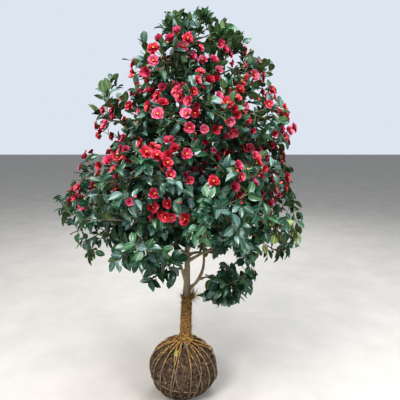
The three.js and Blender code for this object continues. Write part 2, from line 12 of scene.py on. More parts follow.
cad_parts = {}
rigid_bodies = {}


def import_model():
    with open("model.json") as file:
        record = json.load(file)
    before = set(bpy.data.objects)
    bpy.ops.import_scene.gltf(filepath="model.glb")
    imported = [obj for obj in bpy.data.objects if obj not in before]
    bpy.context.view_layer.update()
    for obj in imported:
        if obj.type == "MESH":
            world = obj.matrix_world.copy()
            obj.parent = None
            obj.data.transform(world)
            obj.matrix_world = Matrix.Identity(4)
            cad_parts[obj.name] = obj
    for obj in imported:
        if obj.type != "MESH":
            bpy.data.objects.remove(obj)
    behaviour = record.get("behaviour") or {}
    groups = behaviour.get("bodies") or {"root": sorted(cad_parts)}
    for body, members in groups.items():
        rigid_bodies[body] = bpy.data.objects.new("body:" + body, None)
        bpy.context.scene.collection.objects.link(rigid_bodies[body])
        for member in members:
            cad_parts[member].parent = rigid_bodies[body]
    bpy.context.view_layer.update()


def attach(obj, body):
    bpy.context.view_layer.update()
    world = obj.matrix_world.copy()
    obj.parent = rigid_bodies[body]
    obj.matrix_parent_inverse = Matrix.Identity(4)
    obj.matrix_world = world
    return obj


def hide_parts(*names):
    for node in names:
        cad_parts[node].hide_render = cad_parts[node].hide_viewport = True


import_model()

UP = np.array([0.0, 0.0, 1.0])
FRONT = -90.0
GOLDEN_TURN = math.pi * (3 - math.sqrt(5))

# Sizes that the solids have too
BALL = dict(radius=0.188, height=0.298, waist=0.149, roundness=2.1, foot_half=0.162, head_half=0.153,
            lump=0.022)
ROPE = dict(radius=0.0046, strands=14, stand=0.003, drift=0.42, bow=0.1, start=0.2, reach=2.7, seed=500,
            collar_radius=0.048, collar_height=0.024, knots=18, head_in=0.012, head_up=0.02)
WRAP = dict(foot=0.324, head=0.588, foot_radius=0.033, head_radius=0.0285, rope=0.0052)
TRUNK = dict(foot=0.286, tip=1.8, flare_radius=0.039, flare_height=0.022, neck_radius=0.0235,
             fork_height=0.6, fork_radius=0.0205, leader_height=0.68, leader_radius=0.0155,
             tip_radius=0.0055, offset=0.014, sway=0.015, sway_back=0.009)
BOUGH = dict(tip_radius=0.0048, start_share=0.62, taper=0.8, fork_angle=18, fork_lean=0.6,
             start_pull=0.38, end_pull=0.34, hang_radius=0.0056)
TIERS = [
    dict(name="skirt", count=7, turn=-15, height=0.974, out=0.396, spread=0.296, depth=0.238, axis=0.0,
         fork=0.785, climb=0.014, lean=22, rise=-0.12),
    dict(name="waist", count=6, turn=10, height=1.245, out=0.338, spread=0.296, depth=0.245, axis=0.0,
         fork=0.9, climb=0.026, lean=42, rise=0.1),
    dict(name="shoulder", count=5, turn=-20, height=1.51, out=0.255, spread=0.278, depth=0.24, axis=0.065,
         fork=1.11, climb=0.03, lean=58, rise=0.1),
    dict(name="neck", count=3, turn=8, height=1.748, out=0.15, spread=0.268, depth=0.205, axis=0.062,
         fork=1.42, climb=0.036, lean=70, rise=0.1),
    dict(name="crest", count=1, turn=0, height=1.93, out=0.0, spread=0.25, depth=0.175, axis=0.08,
         fork=0, climb=0, lean=88, rise=0.1),
]
HANGING = [
    dict(name="low_right", azimuth=-20, height=0.712, out=0.25, spread=0.158, depth=0.112, axis=0.0,
         parent="waist_1", parent_share=0.17, lean=-8, rise=0.0),
    dict(name="low_left", azimuth=214, height=0.748, out=0.15, spread=0.122, depth=0.09, axis=0.015,
         parent="skirt_5", parent_share=0.3, lean=-8, rise=0.0),
]
BENDS = {
    "waist_1": (0.612, [(0.058, 0.66), (0.094, 0.738), (0.099, 0.86), (0.112, 0.99)]),
    "skirt_5": (0.628, [(0.017, 0.7), (0.048, 0.782), (0.148, 0.846)]),
}
SEED, STAGGER, SKIRT_TILT, SKIRT_LIFT = 1500, 0.026, 0.018, 0.15
# The seeds of the other draws; the first two are added to a mass's own
SEEDS = dict(sway=7000, twigs=3000, sprigs=64, blooms=90, straws=41, crumbs=77, bloom_shapes=11,
             stamen_shapes=31)
MASS = dict(foot_in=0.6, foot_down=0.52, least_foot_out=0.06, foot_axis=0.6, head_out=0.42, head_up=0.3,
            hanging_head_up=-0.1, gap=0.003, limb_gap=0.009, stem_radius=0.0052, stem_tip_radius=0.0036,
            twigs=6, first_twig=0.14, last_twig=0.98, forward=(0.25, 1.2), shortest=0.034, share=0.5,
            end_leaf=(0.72, 1.0), lift=0.05)

# Sizes of what only shows close to
LEAF_LENGTH, BLOOM_RADIUS, BUD_LENGTH = 0.056, 0.030, 0.024
TWIG_RADII, TWIG_SIDES, SHOOT_SIDES = (0.0034, 0.0023), 7, 4
# The finer twigs, level by level: where the first leaves its parent, how far apart they stand, how far
# they lean forward, the most and least length, the share of the room taken, and their radii.
FINER = [
    dict(first=0.2, spacing=0.042, forward=(0.45, 1.0), longest=0.15, shortest=0.03, share=0.8,
         radii=(0.0021, 0.0015)),
    dict(first=0.28, spacing=0.036, forward=(0.5, 1.1), longest=0.075, shortest=0.016, share=0.95,
         radii=(0.0015, 0.0011)),
]
# What all the finer twigs share: how unevenly they turn, how much more the last one points ahead, their
# rise, their lengths, the room they leave for a leaf, and how they bend up
FINE = dict(jitter=0.6, last_ahead=1.6, rise=0.12, lengths=(0.6, 1.1), proud_length=1.3, leaf_room=0.6,
            lift=0.12, proud_lift=0.25)
TWIG_SWAY, LIMB_CLEARANCE = 0.35, 0.004
ROOM_STEP, ROOM_STEPS = 0.008, 74
# Some shoots stand proud of their mass: how many do, and up to how many times its reach
PROUD = {"skirt": (0.06, 1.04), "waist": (0.1, 1.08), "shoulder": (0.14, 1.13), "neck": (0.22, 1.16),
         "crest": (0.3, 1.13)}
# How far out leaves may reach, in times their mass's reach
LEAF_REACH, HANGING_REACH, PROUD_MARGIN = 1.04, {"low_right": 1.3, "low_left": 1.12}, 0.03
REACH_BOX = np.array([[-0.69, -0.655, 0.0], [0.655, 0.695, 2.12]])
# The crown's left and right edges from the front, bottom up: height, left, right
EDGES = np.array([
    (0.6, -0.3, 0.48), (0.71, -0.3, 0.5), (0.79, -0.45, 0.5), (0.86, -0.53, 0.58), (0.91, -0.56, 0.66),
    (1.05, -0.64, 0.66), (1.17, -0.69, 0.63), (1.25, -0.6, 0.6), (1.32, -0.54, 0.58), (1.41, -0.5, 0.57),
    (1.55, -0.45, 0.56), (1.65, -0.42, 0.54), (1.78, -0.38, 0.47), (1.88, -0.26, 0.4), (1.97, -0.18, 0.31),
    (2.07, -0.07, 0.18), (2.12, -0.02, 0.14)])
EDGE_EASE, SPRIG_EDGE_EASE = 0.03, 0.05
# The camera, at the photo's viewing angle: its place, how far it looks down, and its lens in mm
EYE, LOOKING_DOWN, LENS, SENSOR = (0.099, -2.157, 1.53), 10.37, 36.3, 36.0
# The shares of the leaf tones, deep, blue, mid, fresh and olive, low in the crown, high in it, and on the
# young shoots low on the right. The blue tone is partly a painted bluish sheen of the sky, so it is commoner
# high in the crown, where the leaves face the sky.
TONES_LOW, TONES_HIGH = (0.42, 0.18, 0.37, 0.0, 0.03), (0.44, 0.34, 0.19, 0.0, 0.03)
TONES_YOUNG = (0.16, 0.04, 0.34, 0.2, 0.26)
TONES_SPLIT = 1.15
# Long open shoots that stand past their masses: where their tips are
SPRIGS = np.array([
    (-0.35, -0.02, 1.76), (-0.26, 0.0, 1.86), (-0.41, -0.05, 1.6), (-0.2, -0.06, 1.94),
    (-0.34, -0.14, 1.7), (0.63, -0.03, 0.9), (0.58, 0.08, 0.85), (0.61, -0.1, 1.02),
    (0.55, -0.12, 0.93), (-0.65, 0.0, 1.16), (-0.62, -0.1, 1.07), (-0.55, 0.02, 0.92),
    (-0.49, -0.1, 0.88), (0.46, -0.06, 1.8), (-0.01, 0.02, 2.06), (0.12, -0.02, 2.06),
    (0.18, 0.02, 2.01), (0.25, 0.0, 1.98), (0.31, -0.02, 1.94), (-0.05, -0.03, 2.01),
    (0.33, -0.16, 0.74), (0.37, -0.1, 0.79), (0.3, -0.24, 0.78), (0.24, -0.2, 0.68),
    (0.06, -0.36, 1.43), (0.14, -0.38, 1.41), (0.2, -0.34, 1.45), (0.12, -0.3, 1.48)])
SPRIG = dict(root=0.75, start_pull=0.4, end_pull=0.3, sides=(0.4, 0.7), side_ahead=1.2,
             side_lengths=(0.03, 0.055), lift=0.3)
# How many leaves stand at a twig's tip, and how far apart the others stand back along it
TUFTS = dict(usual=(3, 0.025), sparse=(2, 0.034), sprig=(2, 0.036), young=(2, 0.044))
SPARSE_LEFT, SPARSE_BELOW, DROOP_BELOW = -0.5, 0.95, 0.92
# The leaves: how far they step back from the tip, how much of a main twig and of a finer one is bare,
# how far they open, how they droop, and their sizes. High up they close and lift.
LEAF = dict(tip_step=0.004, first_back=0.018, bare=(0.48, 0.12), at_tip=(0.55, 1.15), along=(0.8, 1.25),
            jitter=0.5, low_droop=(-1.5, -0.3), droop=(-0.75, -0.1), sizes=(0.78, 1.24), hanging_size=1.2)
HIGH_FROM, HIGH_OVER, HIGH_CLOSING, HIGH_LIFT = 1.2, 0.6, 0.3, 0.85
# How much a leaf's face looks out of the crown, up and aside, and how that changes high up
FACE_OUT, FACE_UP, FACE_ASIDE, HIGH_FACE = (0.45, 1.0), (0.0, 1.2), 0.8, (-0.55, 0.3, 0.3)
# Blooms: how far past the tip, how far apart, and the chances of one in the lowest zone, inside the
# leaves and at the surface; none stands outside of these depths, heights and this distance from the axis
BLOOM = dict(past_tip=0.008, apart=0.05, company_apart=0.04, bud_apart=0.03, bud_chance=1.7,
             low_chance=0.32, inner_chance=0.95, outer_chance=0.36, low_zone=1.1, inner_depth=0.93,
             least_depth=0.6, lowest=0.99, lowest_slope=0.27, highest=1.92, farthest=0.56,
             aside=(-0.7, 0.7), up=(-0.25, 0.5), sizes=(0.8, 1.14), bud_out=0.5, bud_sizes=(0.8, 1.15))
# The blooms that keep one company: fewer than this many, how they turn and lean, how far out they stand
# and how far back, and where their stalks leave the twig and how they bend
COMPANY = dict(below=3, turn=0.4, lean=0.4, out=(1.55, 1.85), back=0.008, stalk_from=0.55,
               stalk_pull=0.3, stalk_sink=0.004, stalk_back=0.02)
# How much a bloom faces along its twig and out of the crown, and up to which draws it is rose and red
BLOOM_AHEAD, BLOOM_OUT, ROSE_UP_TO, RED_UP_TO = 0.5, 0.9, 0.45, 0.8
# Leaves this near to a bloom's face are left out: how far ahead of it, and how far aside
VIEW_AHEAD, VIEW_ASIDE = (-0.004, 0.1), 0.02
# How far along a leaf that is looked at
VIEW_SHARES = (0.35, 0.7, 1.0)
# Where twigs are missing and light shows through: low at both sides, and in the left of the crown; and
# the shares of them that are missing there
SIDES_BELOW, SIDES_BEYOND, MISSING_LOW = 1.02, 0.24, 0.3
LEFT_BEYOND, LEFT_HEIGHTS, MISSING_LEFT = -0.14, (1.1, 1.62), 0.16
# The open young sprays low on the right: beyond this, and below this height
YOUNG_BEYOND, YOUNG_BELOW = 0.4, 1.1


# Numbers, vectors and lines
def seeded(seed):
    """The same numbers each time, from 0 to 1, for one seed."""
    mask = 0xFFFFFFFF
    state = seed & mask

    def draw():
        nonlocal state
        state = (state + 0x6D2B79F5) & mask
        t = ((state ^ (state >> 15)) * (state | 1)) & mask
        t ^= (t + (((t ^ (t >> 7)) * (t | 61)) & mask)) & mask
        return ((t ^ (t >> 14)) & mask) / 4294967296

    return draw


def mix(a, b, t):
    return a + (b - a) * t


def outward(azimuth):
    return np.array([math.cos(azimuth), math.sin(azimuth), 0.0])


def unit(v):
    return v / np.linalg.norm(v)


def perpendicular(heading):
    hint = UP if abs(heading[2]) < 0.9 else np.array([1.0, 0.0, 0.0])
    return unit(np.cross(hint, heading))


def turned(v, axis, angle):
    """v, which is square to axis, turned about it."""
    return v * math.cos(angle) + np.cross(axis, v) * math.sin(angle)


def point_on(points, share):
    at = min(max(share, 0.0), 1.0) * (len(points) - 1)
    index = min(int(at), len(points) - 2)
    return mix(points[index], points[index + 1], at - index)


def heading_on(points, share):
    half = 0.5 / (len(points) - 1)
    return unit(point_on(points, share + half) - point_on(points, share - half))


def branching(points, share, turn, last=1.0):
    """A spot on a line, the line's heading there, and the way sideways from it at a turn."""
    heading = heading_on(points, min(share, last))
    return point_on(points, share), heading, turned(perpendicular(heading), heading, turn)


def length_of(points):
    return float(np.linalg.norm(np.diff(points, axis=0), axis=1).sum())


def run_of(points):
    """How far along a line each of its points is."""
    return np.concatenate([[0], np.cumsum(np.linalg.norm(np.diff(points, axis=0), axis=1))])


def spaced(points, steps):
    """A line of points at even distances along another."""
    run = run_of(points)
    at = np.linspace(0, run[-1], steps + 1)
    return np.stack([np.interp(at, run, points[:, k]) for k in range(3)], axis=1)


def quadratic(a, b, c, steps):
    t = np.linspace(0, 1, steps + 1)[:, None]
    return (1 - t) ** 2 * a + 2 * t * (1 - t) * b + t * t * c


def bezier(a, b, c, d, steps):
    t = np.linspace(0, 1, 120)[:, None]
    curve = (1 - t) ** 3 * a + 3 * t * (1 - t) ** 2 * b + 3 * t * t * (1 - t) * c + t ** 3 * d
    return spaced(curve, steps)


def smooth_line(knots, steps):
    """A smooth line through knots, with rounder bends where they are close together."""
    knots = np.array(knots, float)
    knots = np.vstack([2 * knots[0] - knots[1], knots, 2 * knots[-1] - knots[-2]])
    line = []
    for p0, p1, p2, p3 in zip(knots, knots[1:], knots[2:], knots[3:]):
        times = [0.0]
        for a, b in ((p0, p1), (p1, p2), (p2, p3)):
            times.append(times[-1] + max(np.linalg.norm(b - a), 1e-6) ** 0.5)
        t0, t1, t2, t3 = times
        for t in np.linspace(t1, t2, 24, endpoint=False):
            a1 = mix(p0, p1, (t - t0) / (t1 - t0))
            a2 = mix(p1, p2, (t - t1) / (t2 - t1))
            a3 = mix(p2, p3, (t - t2) / (t3 - t2))
            b1, b2 = mix(a1, a2, (t - t0) / (t2 - t0)), mix(a2, a3, (t - t1) / (t3 - t1))
            line.append(mix(b1, b2, (t - t1) / (t2 - t1)))
    line.append(knots[-2])
    return spaced(np.array(line), steps)


# The root ball, the trunk and the crown's plan, as the solids have them
def ball_radius(height, azimuth):
    half = BALL["foot_half"] if height < BALL["waist"] else BALL["head_half"]
    share = min(abs(height - BALL["waist"]) / half, 1.0)
    outline = (1 - share ** BALL["roundness"]) ** (1 / BALL["roundness"])
    lumps = (math.sin(3 * azimuth + height / 0.06) + 0.7 * math.sin(5 * azimuth - height / 0.037 + 2)
             + 0.5 * math.cos(2 * azimuth + height / 0.09))
    return BALL["radius"] * outline * (1 + BALL["lump"] * lumps * outline)


def trunk_centre(height):
    share = (height - TRUNK["foot"]) / (TRUNK["tip"] - TRUNK["foot"])
    return np.array([TRUNK["offset"] + TRUNK["sway"] * math.sin(share * math.pi * 1.1),
                     TRUNK["sway_back"] * math.sin(share * math.pi * 2.3), height])


def trunk_radius(height):
    flare = (TRUNK["flare_radius"] - TRUNK["neck_radius"]) * math.exp(
        (TRUNK["foot"] - height) / TRUNK["flare_height"])
    if height < TRUNK["fork_height"]:
        share = (height - TRUNK["foot"]) / (TRUNK["fork_height"] - TRUNK["foot"])
        return mix(TRUNK["neck_radius"], TRUNK["fork_radius"], share) + flare
    if height < TRUNK["leader_height"]:
        share = (height - TRUNK["fork_height"]) / (TRUNK["leader_height"] - TRUNK["fork_height"])
        return mix(TRUNK["fork_radius"], TRUNK["leader_radius"], share)
    share = (height - TRUNK["leader_height"]) / (TRUNK["tip"] - TRUNK["leader_height"])
    return mix(TRUNK["leader_radius"], TRUNK["tip_radius"], share)


def plan_mass(name, tier, azimuth, size, seed):
    away = outward(math.radians(azimuth))
    centre = away * size["out"] + np.array([size["axis"], 0.0, size["height"]])
    lean = math.radians(size["lean"])
    aim = away * math.cos(lean) + UP * math.sin(lean)
    return dict(size, name=name, tier=tier, away=away, centre=centre, aim=aim, seed=seed, azimuth=azimuth)


def plan_crown():
    masses = []
    for tier in TIERS:
        for i in range(tier["count"]):
            name = f"{tier['name']}_{i + 1}" if tier["count"] > 1 else tier["name"]
            mass = plan_mass(name, tier["name"], tier["turn"] + 360 * i / tier["count"], tier,
                             SEED + len(masses))
            if tier["count"] > 1:
                mass["centre"][2] += STAGGER * (1 if i % 2 == 0 else -1)
            if tier["name"] == "skirt":
                facing = math.cos(math.radians(mass["azimuth"] - FRONT))
                mass["centre"][2] += SKIRT_LIFT * max(0.0, facing) - SKIRT_TILT * mass["away"][0]
            masses.append(mass)
    for small in HANGING:
        masses.append(plan_mass(small["name"], "skirt", small["azimuth"], small, SEED + len(masses)))
    for mass in masses:
        out = max(mass["out"] - MASS["foot_in"] * mass["spread"], MASS["least_foot_out"])
        mass["foot"] = mass["away"] * out
        mass["foot"][0] += MASS["foot_axis"] * mass["axis"]
        mass["foot"][2] = mass["centre"][2] - (0 if mass["lean"] < 0 else MASS["foot_down"] * mass["depth"])
    crest = next(m for m in masses if m["name"] == "crest")
    crest["foot"] = trunk_centre(TRUNK["tip"])
    crest["aim"] = unit(trunk_centre(TRUNK["tip"]) - trunk_centre(TRUNK["tip"] - 0.005))
    return masses


def plan_boughs(masses):
    boughs = {}
    for tier in (t for t in TIERS if t["fork"] > 0):
        for i in range(tier["count"]):
            name = f"{tier['name']}_{i + 1}"
            mass = next(m for m in masses if m["name"] == name)
            fork, through = BENDS.get(name, (tier["fork"] + tier["climb"] * ((2 * i) % tier["count"]), None))
            start = trunk_centre(fork)
            if through:
                knots = [start] + [np.array([*(start + mass["away"] * out)[:2], z]) for out, z in through]
                points = smooth_line(knots + [mass["foot"]], 40)
            else:
                steep = math.radians(tier["lean"] * BOUGH["fork_lean"] + BOUGH["fork_angle"])
                heading = mass["away"] * math.cos(steep) + UP * math.sin(steep)
                points = bough_curve(start, heading, mass)
            radius = BOUGH["start_share"] * trunk_radius(max(fork, TRUNK["leader_height"]))
            boughs[name] = dict(points=points, radius=radius, mass=mass)
    for small in HANGING:
        mass = next(m for m in masses if m["name"] == small["name"])
        start = point_on(boughs[small["parent"]]["points"], small["parent_share"])
        boughs[small["name"]] = dict(points=bough_curve(start, mass["away"], mass),
                                     radius=BOUGH["hang_radius"], mass=mass)
    for bough in boughs.values():
        bough["mass"]["aim"] = heading_on(bough["points"], 1)
        count = len(bough["points"])
        shares = np.linspace(0, 1, count) ** BOUGH["taper"]
        bough["radii"] = mix(bough["radius"], BOUGH["tip_radius"], shares)
    return boughs


def bough_curve(start, heading, mass):
    end = mass["foot"]
    length = np.linalg.norm(end - start)
    return bezier(start, start + heading * length * BOUGH["start_pull"],
                  end - mass["aim"] * length * BOUGH["end_pull"], end, 28)


# The foliage's growth
def reach_of(points, mass):
    """How far out points lie in a mass's ellipsoid: 1 at its surface."""
    start = points - mass["centre"]
    flat = np.hypot(start[..., 0], start[..., 1]) / mass["spread"]
    return np.sqrt(flat ** 2 + (start[..., 2] / mass["depth"]) ** 2)


def depth_of(points, masses):
    """The same over the whole crown: under 1 inside it, and about 1 at its surface."""
    return np.min([reach_of(points, mass) for mass in masses], axis=0)


def in_space(points, mass, masses, margin, reach=1.0):
    """Which points are in the part of a mass's ellipsoid that is nearer to it than to any other mass."""
    start = points - mass["centre"]
    inside = reach_of(points, mass) <= reach
    for other in masses:
        if other is mass:
            continue
        across = other["centre"] - mass["centre"]
        distance = np.linalg.norm(across)
        weight = mass["spread"] * mass["depth"] - other["spread"] * other["depth"]
        inside &= start @ across / distance < distance / 2 + weight / (2 * distance) - margin
    return inside


def room_along(start, heading, mass, masses, reach=1.0):
    """How far a straight twig can grow before it leaves its mass's space."""
    steps = np.arange(1, ROOM_STEPS + 1) * ROOM_STEP
    free = in_space(start + steps[:, None] * heading, mass, masses, MASS["gap"], reach)
    return ROOM_STEP * (len(steps) if free.all() else int(np.argmin(free)))


def is_clear(points, spots, radii, margin):
    gaps = np.linalg.norm(points[:, None] - spots[None], axis=2) - radii[None]
    return bool((gaps > margin).all())


def in_box(point):
    return bool((point > REACH_BOX[0]).all() and (point < REACH_BOX[1]).all())


def in_edges(point, ease=0.0):
    """Whether a point is in the crown's outline from the front."""
    across = EYE[0] + (point[0] - EYE[0]) * EYE[1] / (EYE[1] - point[1])
    left, right = (np.interp(point[2], EDGES[:, 0], EDGES[:, k]) for k in (1, 2))
    return left - ease < across < right + ease


def missing_share(tip):
    """The share of the twigs that is missing where the crown is sparse."""
    if tip[2] < SIDES_BELOW and abs(tip[0]) > SIDES_BEYOND:
        return MISSING_LOW
    sparse = tip[0] < LEFT_BEYOND and LEFT_HEIGHTS[0] < tip[2] < LEFT_HEIGHTS[1]
    return MISSING_LEFT if sparse else 0.0


def is_young(tip):
    """Whether a twig is one of the open young sprays low on the right."""
    return tip[0] > YOUNG_BEYOND and tip[2] < YOUNG_BELOW


def bent(start, heading, length, lift, draw, steps):
    """A twig's line: it leaves along heading and turns a little upwards and aside."""
    aside = np.array([draw() - 0.5, draw() - 0.5, draw() - 0.5]) * TWIG_SWAY
    middle = start + heading * length * 0.5
    return quadratic(start, middle, middle + unit(heading + UP * lift + aside) * length * 0.5, steps)


def stem_line(mass):
    foot, aim = mass["foot"], mass["aim"]
    head = mass["centre"] + mass["away"] * (MASS["head_out"] * mass["spread"] if mass["out"] > 0 else 0)
    head = head + UP * MASS["hanging_head_up" if mass["lean"] < 0 else "head_up"] * mass["depth"]
    return spaced(quadratic(foot, foot + aim * np.linalg.norm(head - foot) * 0.5, head, 39), 9)


def main_twigs(mass, masses, stem, spots, radii):
    """The twigs of a mass's stem, each a golden turn on from the last, as the solids have them."""
    draw, aside = seeded(mass["seed"]), seeded(mass["seed"] + SEEDS["sway"])
    twigs = []
    for i in range(MASS["twigs"]):
        share = mix(MASS["first_twig"], MASS["last_twig"], i / (MASS["twigs"] - 1))
        jitter, leaf_share = draw(), mix(*MASS["end_leaf"], draw())
        start, heading, side = branching(stem, share, i * GOLDEN_TURN + jitter)
        forward = mix(*MASS["forward"], share * share)
        heading = unit(heading * forward + side + UP * mass["rise"])
        room = room_along(start, heading, mass, masses)
        length = max(MASS["share"] * room, room - leaf_share * LEAF_LENGTH)
        if length < MASS["shortest"]:
            continue
        line = bent(start, heading, length, MASS["lift"], aside, 6)
        if is_clear(line[2:], spots, radii, MASS["limb_gap"]):
            twigs.append(dict(points=line, level=0, radii=TWIG_RADII))
    return twigs


def side_twigs(parent, level, mass, spots, radii, draw):
    """The next finer twigs, by the same rule, from along one twig and from its end."""
    rule, line = FINER[level], parent["points"]
    proud_share, proud_reach = PROUD[mass["tier"]]
    count = max(1, round(length_of(line) * (1 - rule["first"]) / rule["spacing"]))
    turn = 2 * math.pi * draw()
    twigs = []
    for i in range(count + 1):
        share = mix(rule["first"], 1.0, i / count)
        start, heading, side = branching(line, share, turn + i * GOLDEN_TURN + FINE["jitter"] * draw())
        forward = mix(*rule["forward"], draw()) + (FINE["last_ahead"] if i == count else 0)
        heading = unit(heading * forward + side + UP * (mass["rise"] + FINE["rise"]))
        proud = level == 0 and draw() < proud_share
        room = room_along(start, heading, mass, [mass], proud_reach if proud else 1.0)
        longest = rule["longest"] * (FINE["proud_length"] if proud else mix(*FINE["lengths"], draw()))
        length = min(longest, rule["share"] * room, room - FINE["leaf_room"] * LEAF_LENGTH)
        if length < rule["shortest"]:
            continue
        twig = bent(start, heading, length, FINE["proud_lift" if proud else "lift"], draw, 3)
        if draw() < missing_share(twig[-1]):
            continue
        if is_clear(twig[1:], spots, radii, LIMB_CLEARANCE) and in_box(twig[-1]) and in_edges(twig[-1]):
            twigs.append(dict(points=twig, level=level + 1, radii=rule["radii"], proud=proud))
    return twigs


def grow_mass(mass, masses, all_spots, all_radii):
    near = np.linalg.norm(all_spots - mass["centre"], axis=1) < mass["spread"] + LEAF_LENGTH
    spots, radii = all_spots[near], all_radii[near]
    stem = stem_line(mass)
    draw = seeded(mass["seed"] + SEEDS["twigs"])
    parents = main_twigs(mass, masses, stem, spots, radii)
    twigs = list(parents)
    for level in range(len(FINER)):
        parents = [t for p in parents for t in side_twigs(p, level, mass, spots, radii, draw)]
        twigs += parents
    stem_twig = dict(points=stem, level=-1, radii=(MASS["stem_radius"], MASS["stem_tip_radius"]))
    return dict(mass=mass, stem=stem_twig, twigs=twigs, spots=spots, radii=radii, draw=draw)


def add_sprigs(growths):
    """The long shoots, each from the main twig nearest its tip, with a few side shoots."""
    draw = seeded(SEEDS["sprigs"])
    parents = [(g, t) for g in growths for t in g["twigs"] if t["level"] == 0]
    for tip in SPRIGS:
        growth, twig = min(parents, key=lambda pair: np.linalg.norm(pair[1]["points"][-1] - tip))
        start, heading = (get(twig["points"], SPRIG["root"]) for get in (point_on, heading_on))
        length = np.linalg.norm(tip - start)
        line = bezier(start, start + heading * length * SPRIG["start_pull"],
                      tip - unit(tip - start) * length * SPRIG["end_pull"], tip, 5)
        growth["twigs"].append(dict(points=line, level=1, radii=FINER[0]["radii"], sprig=True))
        for i, share in enumerate(SPRIG["sides"]):
            root, ahead, side = branching(line, share, GOLDEN_TURN * i + 6 * draw())
            shoot = bent(root, unit(ahead * SPRIG["side_ahead"] + side), mix(*SPRIG["side_lengths"], draw()),
                         SPRIG["lift"], draw, 3)
            if in_box(shoot[-1]):
                growth["twigs"].append(dict(points=shoot, level=2, radii=FINER[1]["radii"], sprig=True))


def pick_tone(draw, tip):
    shares = TONES_YOUNG if is_young(tip) else (TONES_LOW if tip[2] < TONES_SPLIT else TONES_HIGH)
    at, total = draw(), 0.0
    for index, share in enumerate(shares):
        total += share
        if at < total:
            return index
    return 0


def leaf_shares(twig, tip):
    """How many leaves stand at a twig's tip, and where on it they all stand, from its tip back."""
    sparse = tip[0] < SPARSE_LEFT or tip[2] < SPARSE_BELOW
    tuft, apart = TUFTS["sprig" if twig.get("sprig") else ("sparse" if sparse else "usual")]
    if is_young(tip):
        tuft, apart = TUFTS["young"]
        tuft -= twig["level"] // 2
    length, main = length_of(twig["points"]), twig["level"] == 0
    at_tip = [1 - LEAF["tip_step"] * i / max(length, 0.01) for i in range(tuft + main)]
    bare = LEAF["bare"][0 if main else 1] * length
    return tuft, at_tip + list(np.arange(length - LEAF["first_back"], bare, -apart) / length)


def leaf_places(growth, masses):
    """Where the leaves of a mass stand: a rosette at each twig's tip and single ones back along it."""
    draw, mass = growth["draw"], growth["mass"]
    hanging = mass["lean"] < 0
    rows = []
    for twig in growth["twigs"]:
        tip = twig["points"][-1]
        tone = pick_tone(draw, tip)
        tuft, shares = leaf_shares(twig, tip)
        turn = 2 * math.pi * draw()
        high = min(max((tip[2] - HIGH_FROM) / HIGH_OVER, 0.0), 1.0)
        low = hanging or tip[2] < DROOP_BELOW or is_young(tip)
        for i, share in enumerate(shares):
            root, heading, side = branching(twig["points"], share,
                                            turn + i * GOLDEN_TURN + LEAF["jitter"] * draw(), 0.999)
            opened = mix(*LEAF["at_tip" if i < tuft else "along"], draw()) * (1 - HIGH_CLOSING * high)
            direction = heading * math.cos(opened) + side * math.sin(opened)
            droop = mix(*LEAF["low_droop" if low else "droop"], draw()) + (0 if low else HIGH_LIFT * high)
            direction = unit(direction + UP * droop)
            size = LEAF_LENGTH * mix(*LEAF["sizes"], draw()) * (LEAF["hanging_size"] if hanging else 1)
            out = unit((root - np.array([mass["axis"], 0, root[2]])) + 1e-6)
            face = out * (mix(*FACE_OUT, draw()) + HIGH_FACE[0] * high)
            face = face + UP * (mix(*FACE_UP, draw()) + HIGH_FACE[1] * high)
            face = face + np.cross(UP, out) * mix(-1, 1, draw()) * (FACE_ASIDE + HIGH_FACE[2] * high)
            rows.append((root, direction, face, size, int(draw() * len(LEAF_SHAPES)), tone, twig))
    return keep_in_reach(rows, growth, masses)


def keep_in_reach(rows, growth, masses):
    tips = np.array([r[0] + r[1] * r[3] for r in rows])
    middles = np.array([r[0] + r[1] * r[3] * 0.5 for r in rows])
    proud = PROUD[growth["mass"]["tier"]][1] + PROUD_MARGIN
    usual = HANGING_REACH.get(growth["mass"]["name"], LEAF_REACH)
    limits = [9 if r[-1].get("sprig") else (proud if r[-1].get("proud") else usual) for r in rows]
    inside = depth_of(tips, masses) < np.array(limits)
    kept = []
    for row, tip, middle, ok in zip(rows, tips, middles, inside):
        clear = is_clear(np.array([tip, middle]), growth["spots"], growth["radii"], LIMB_CLEARANCE)
        ease = SPRIG_EDGE_EASE if row[-1].get("sprig") else EDGE_EASE * growth["draw"]()
        if ok and clear and in_box(tip) and in_edges(tip, ease):
            kept.append(row[:-1])
    return kept


def bloom_chance(tip, masses):
    """Most blooms stand a little inside the leaves, and there are none low in the crown or at its top."""
    depth = float(depth_of(tip[None], masses)[0])
    lowest = BLOOM["lowest"] + BLOOM["lowest_slope"] * max(0.0, -tip[1])
    if depth < BLOOM["least_depth"] or not lowest < tip[2] < BLOOM["highest"]:
        return 0.0
    if np.hypot(*tip[:2]) > BLOOM["farthest"]:
        return 0.0
    if tip[2] < BLOOM["low_zone"]:
        return BLOOM["low_chance"]
    return BLOOM["inner_chance" if depth < BLOOM["inner_depth"] else "outer_chance"]


def room_for(centre, others, distance):
    return all(np.linalg.norm(centre - other[0]) > distance for other in others)


def bloom_row(centre, face, turn, kind, look, tier):
    tone = 0 if kind < ROSE_UP_TO else (1 if kind < RED_UP_TO else 2)
    shape = int(kind * 37) % len(OPENED)
    return (centre, face, 2 * math.pi * turn, mix(*BLOOM["sizes"], look), shape, tone, tier)


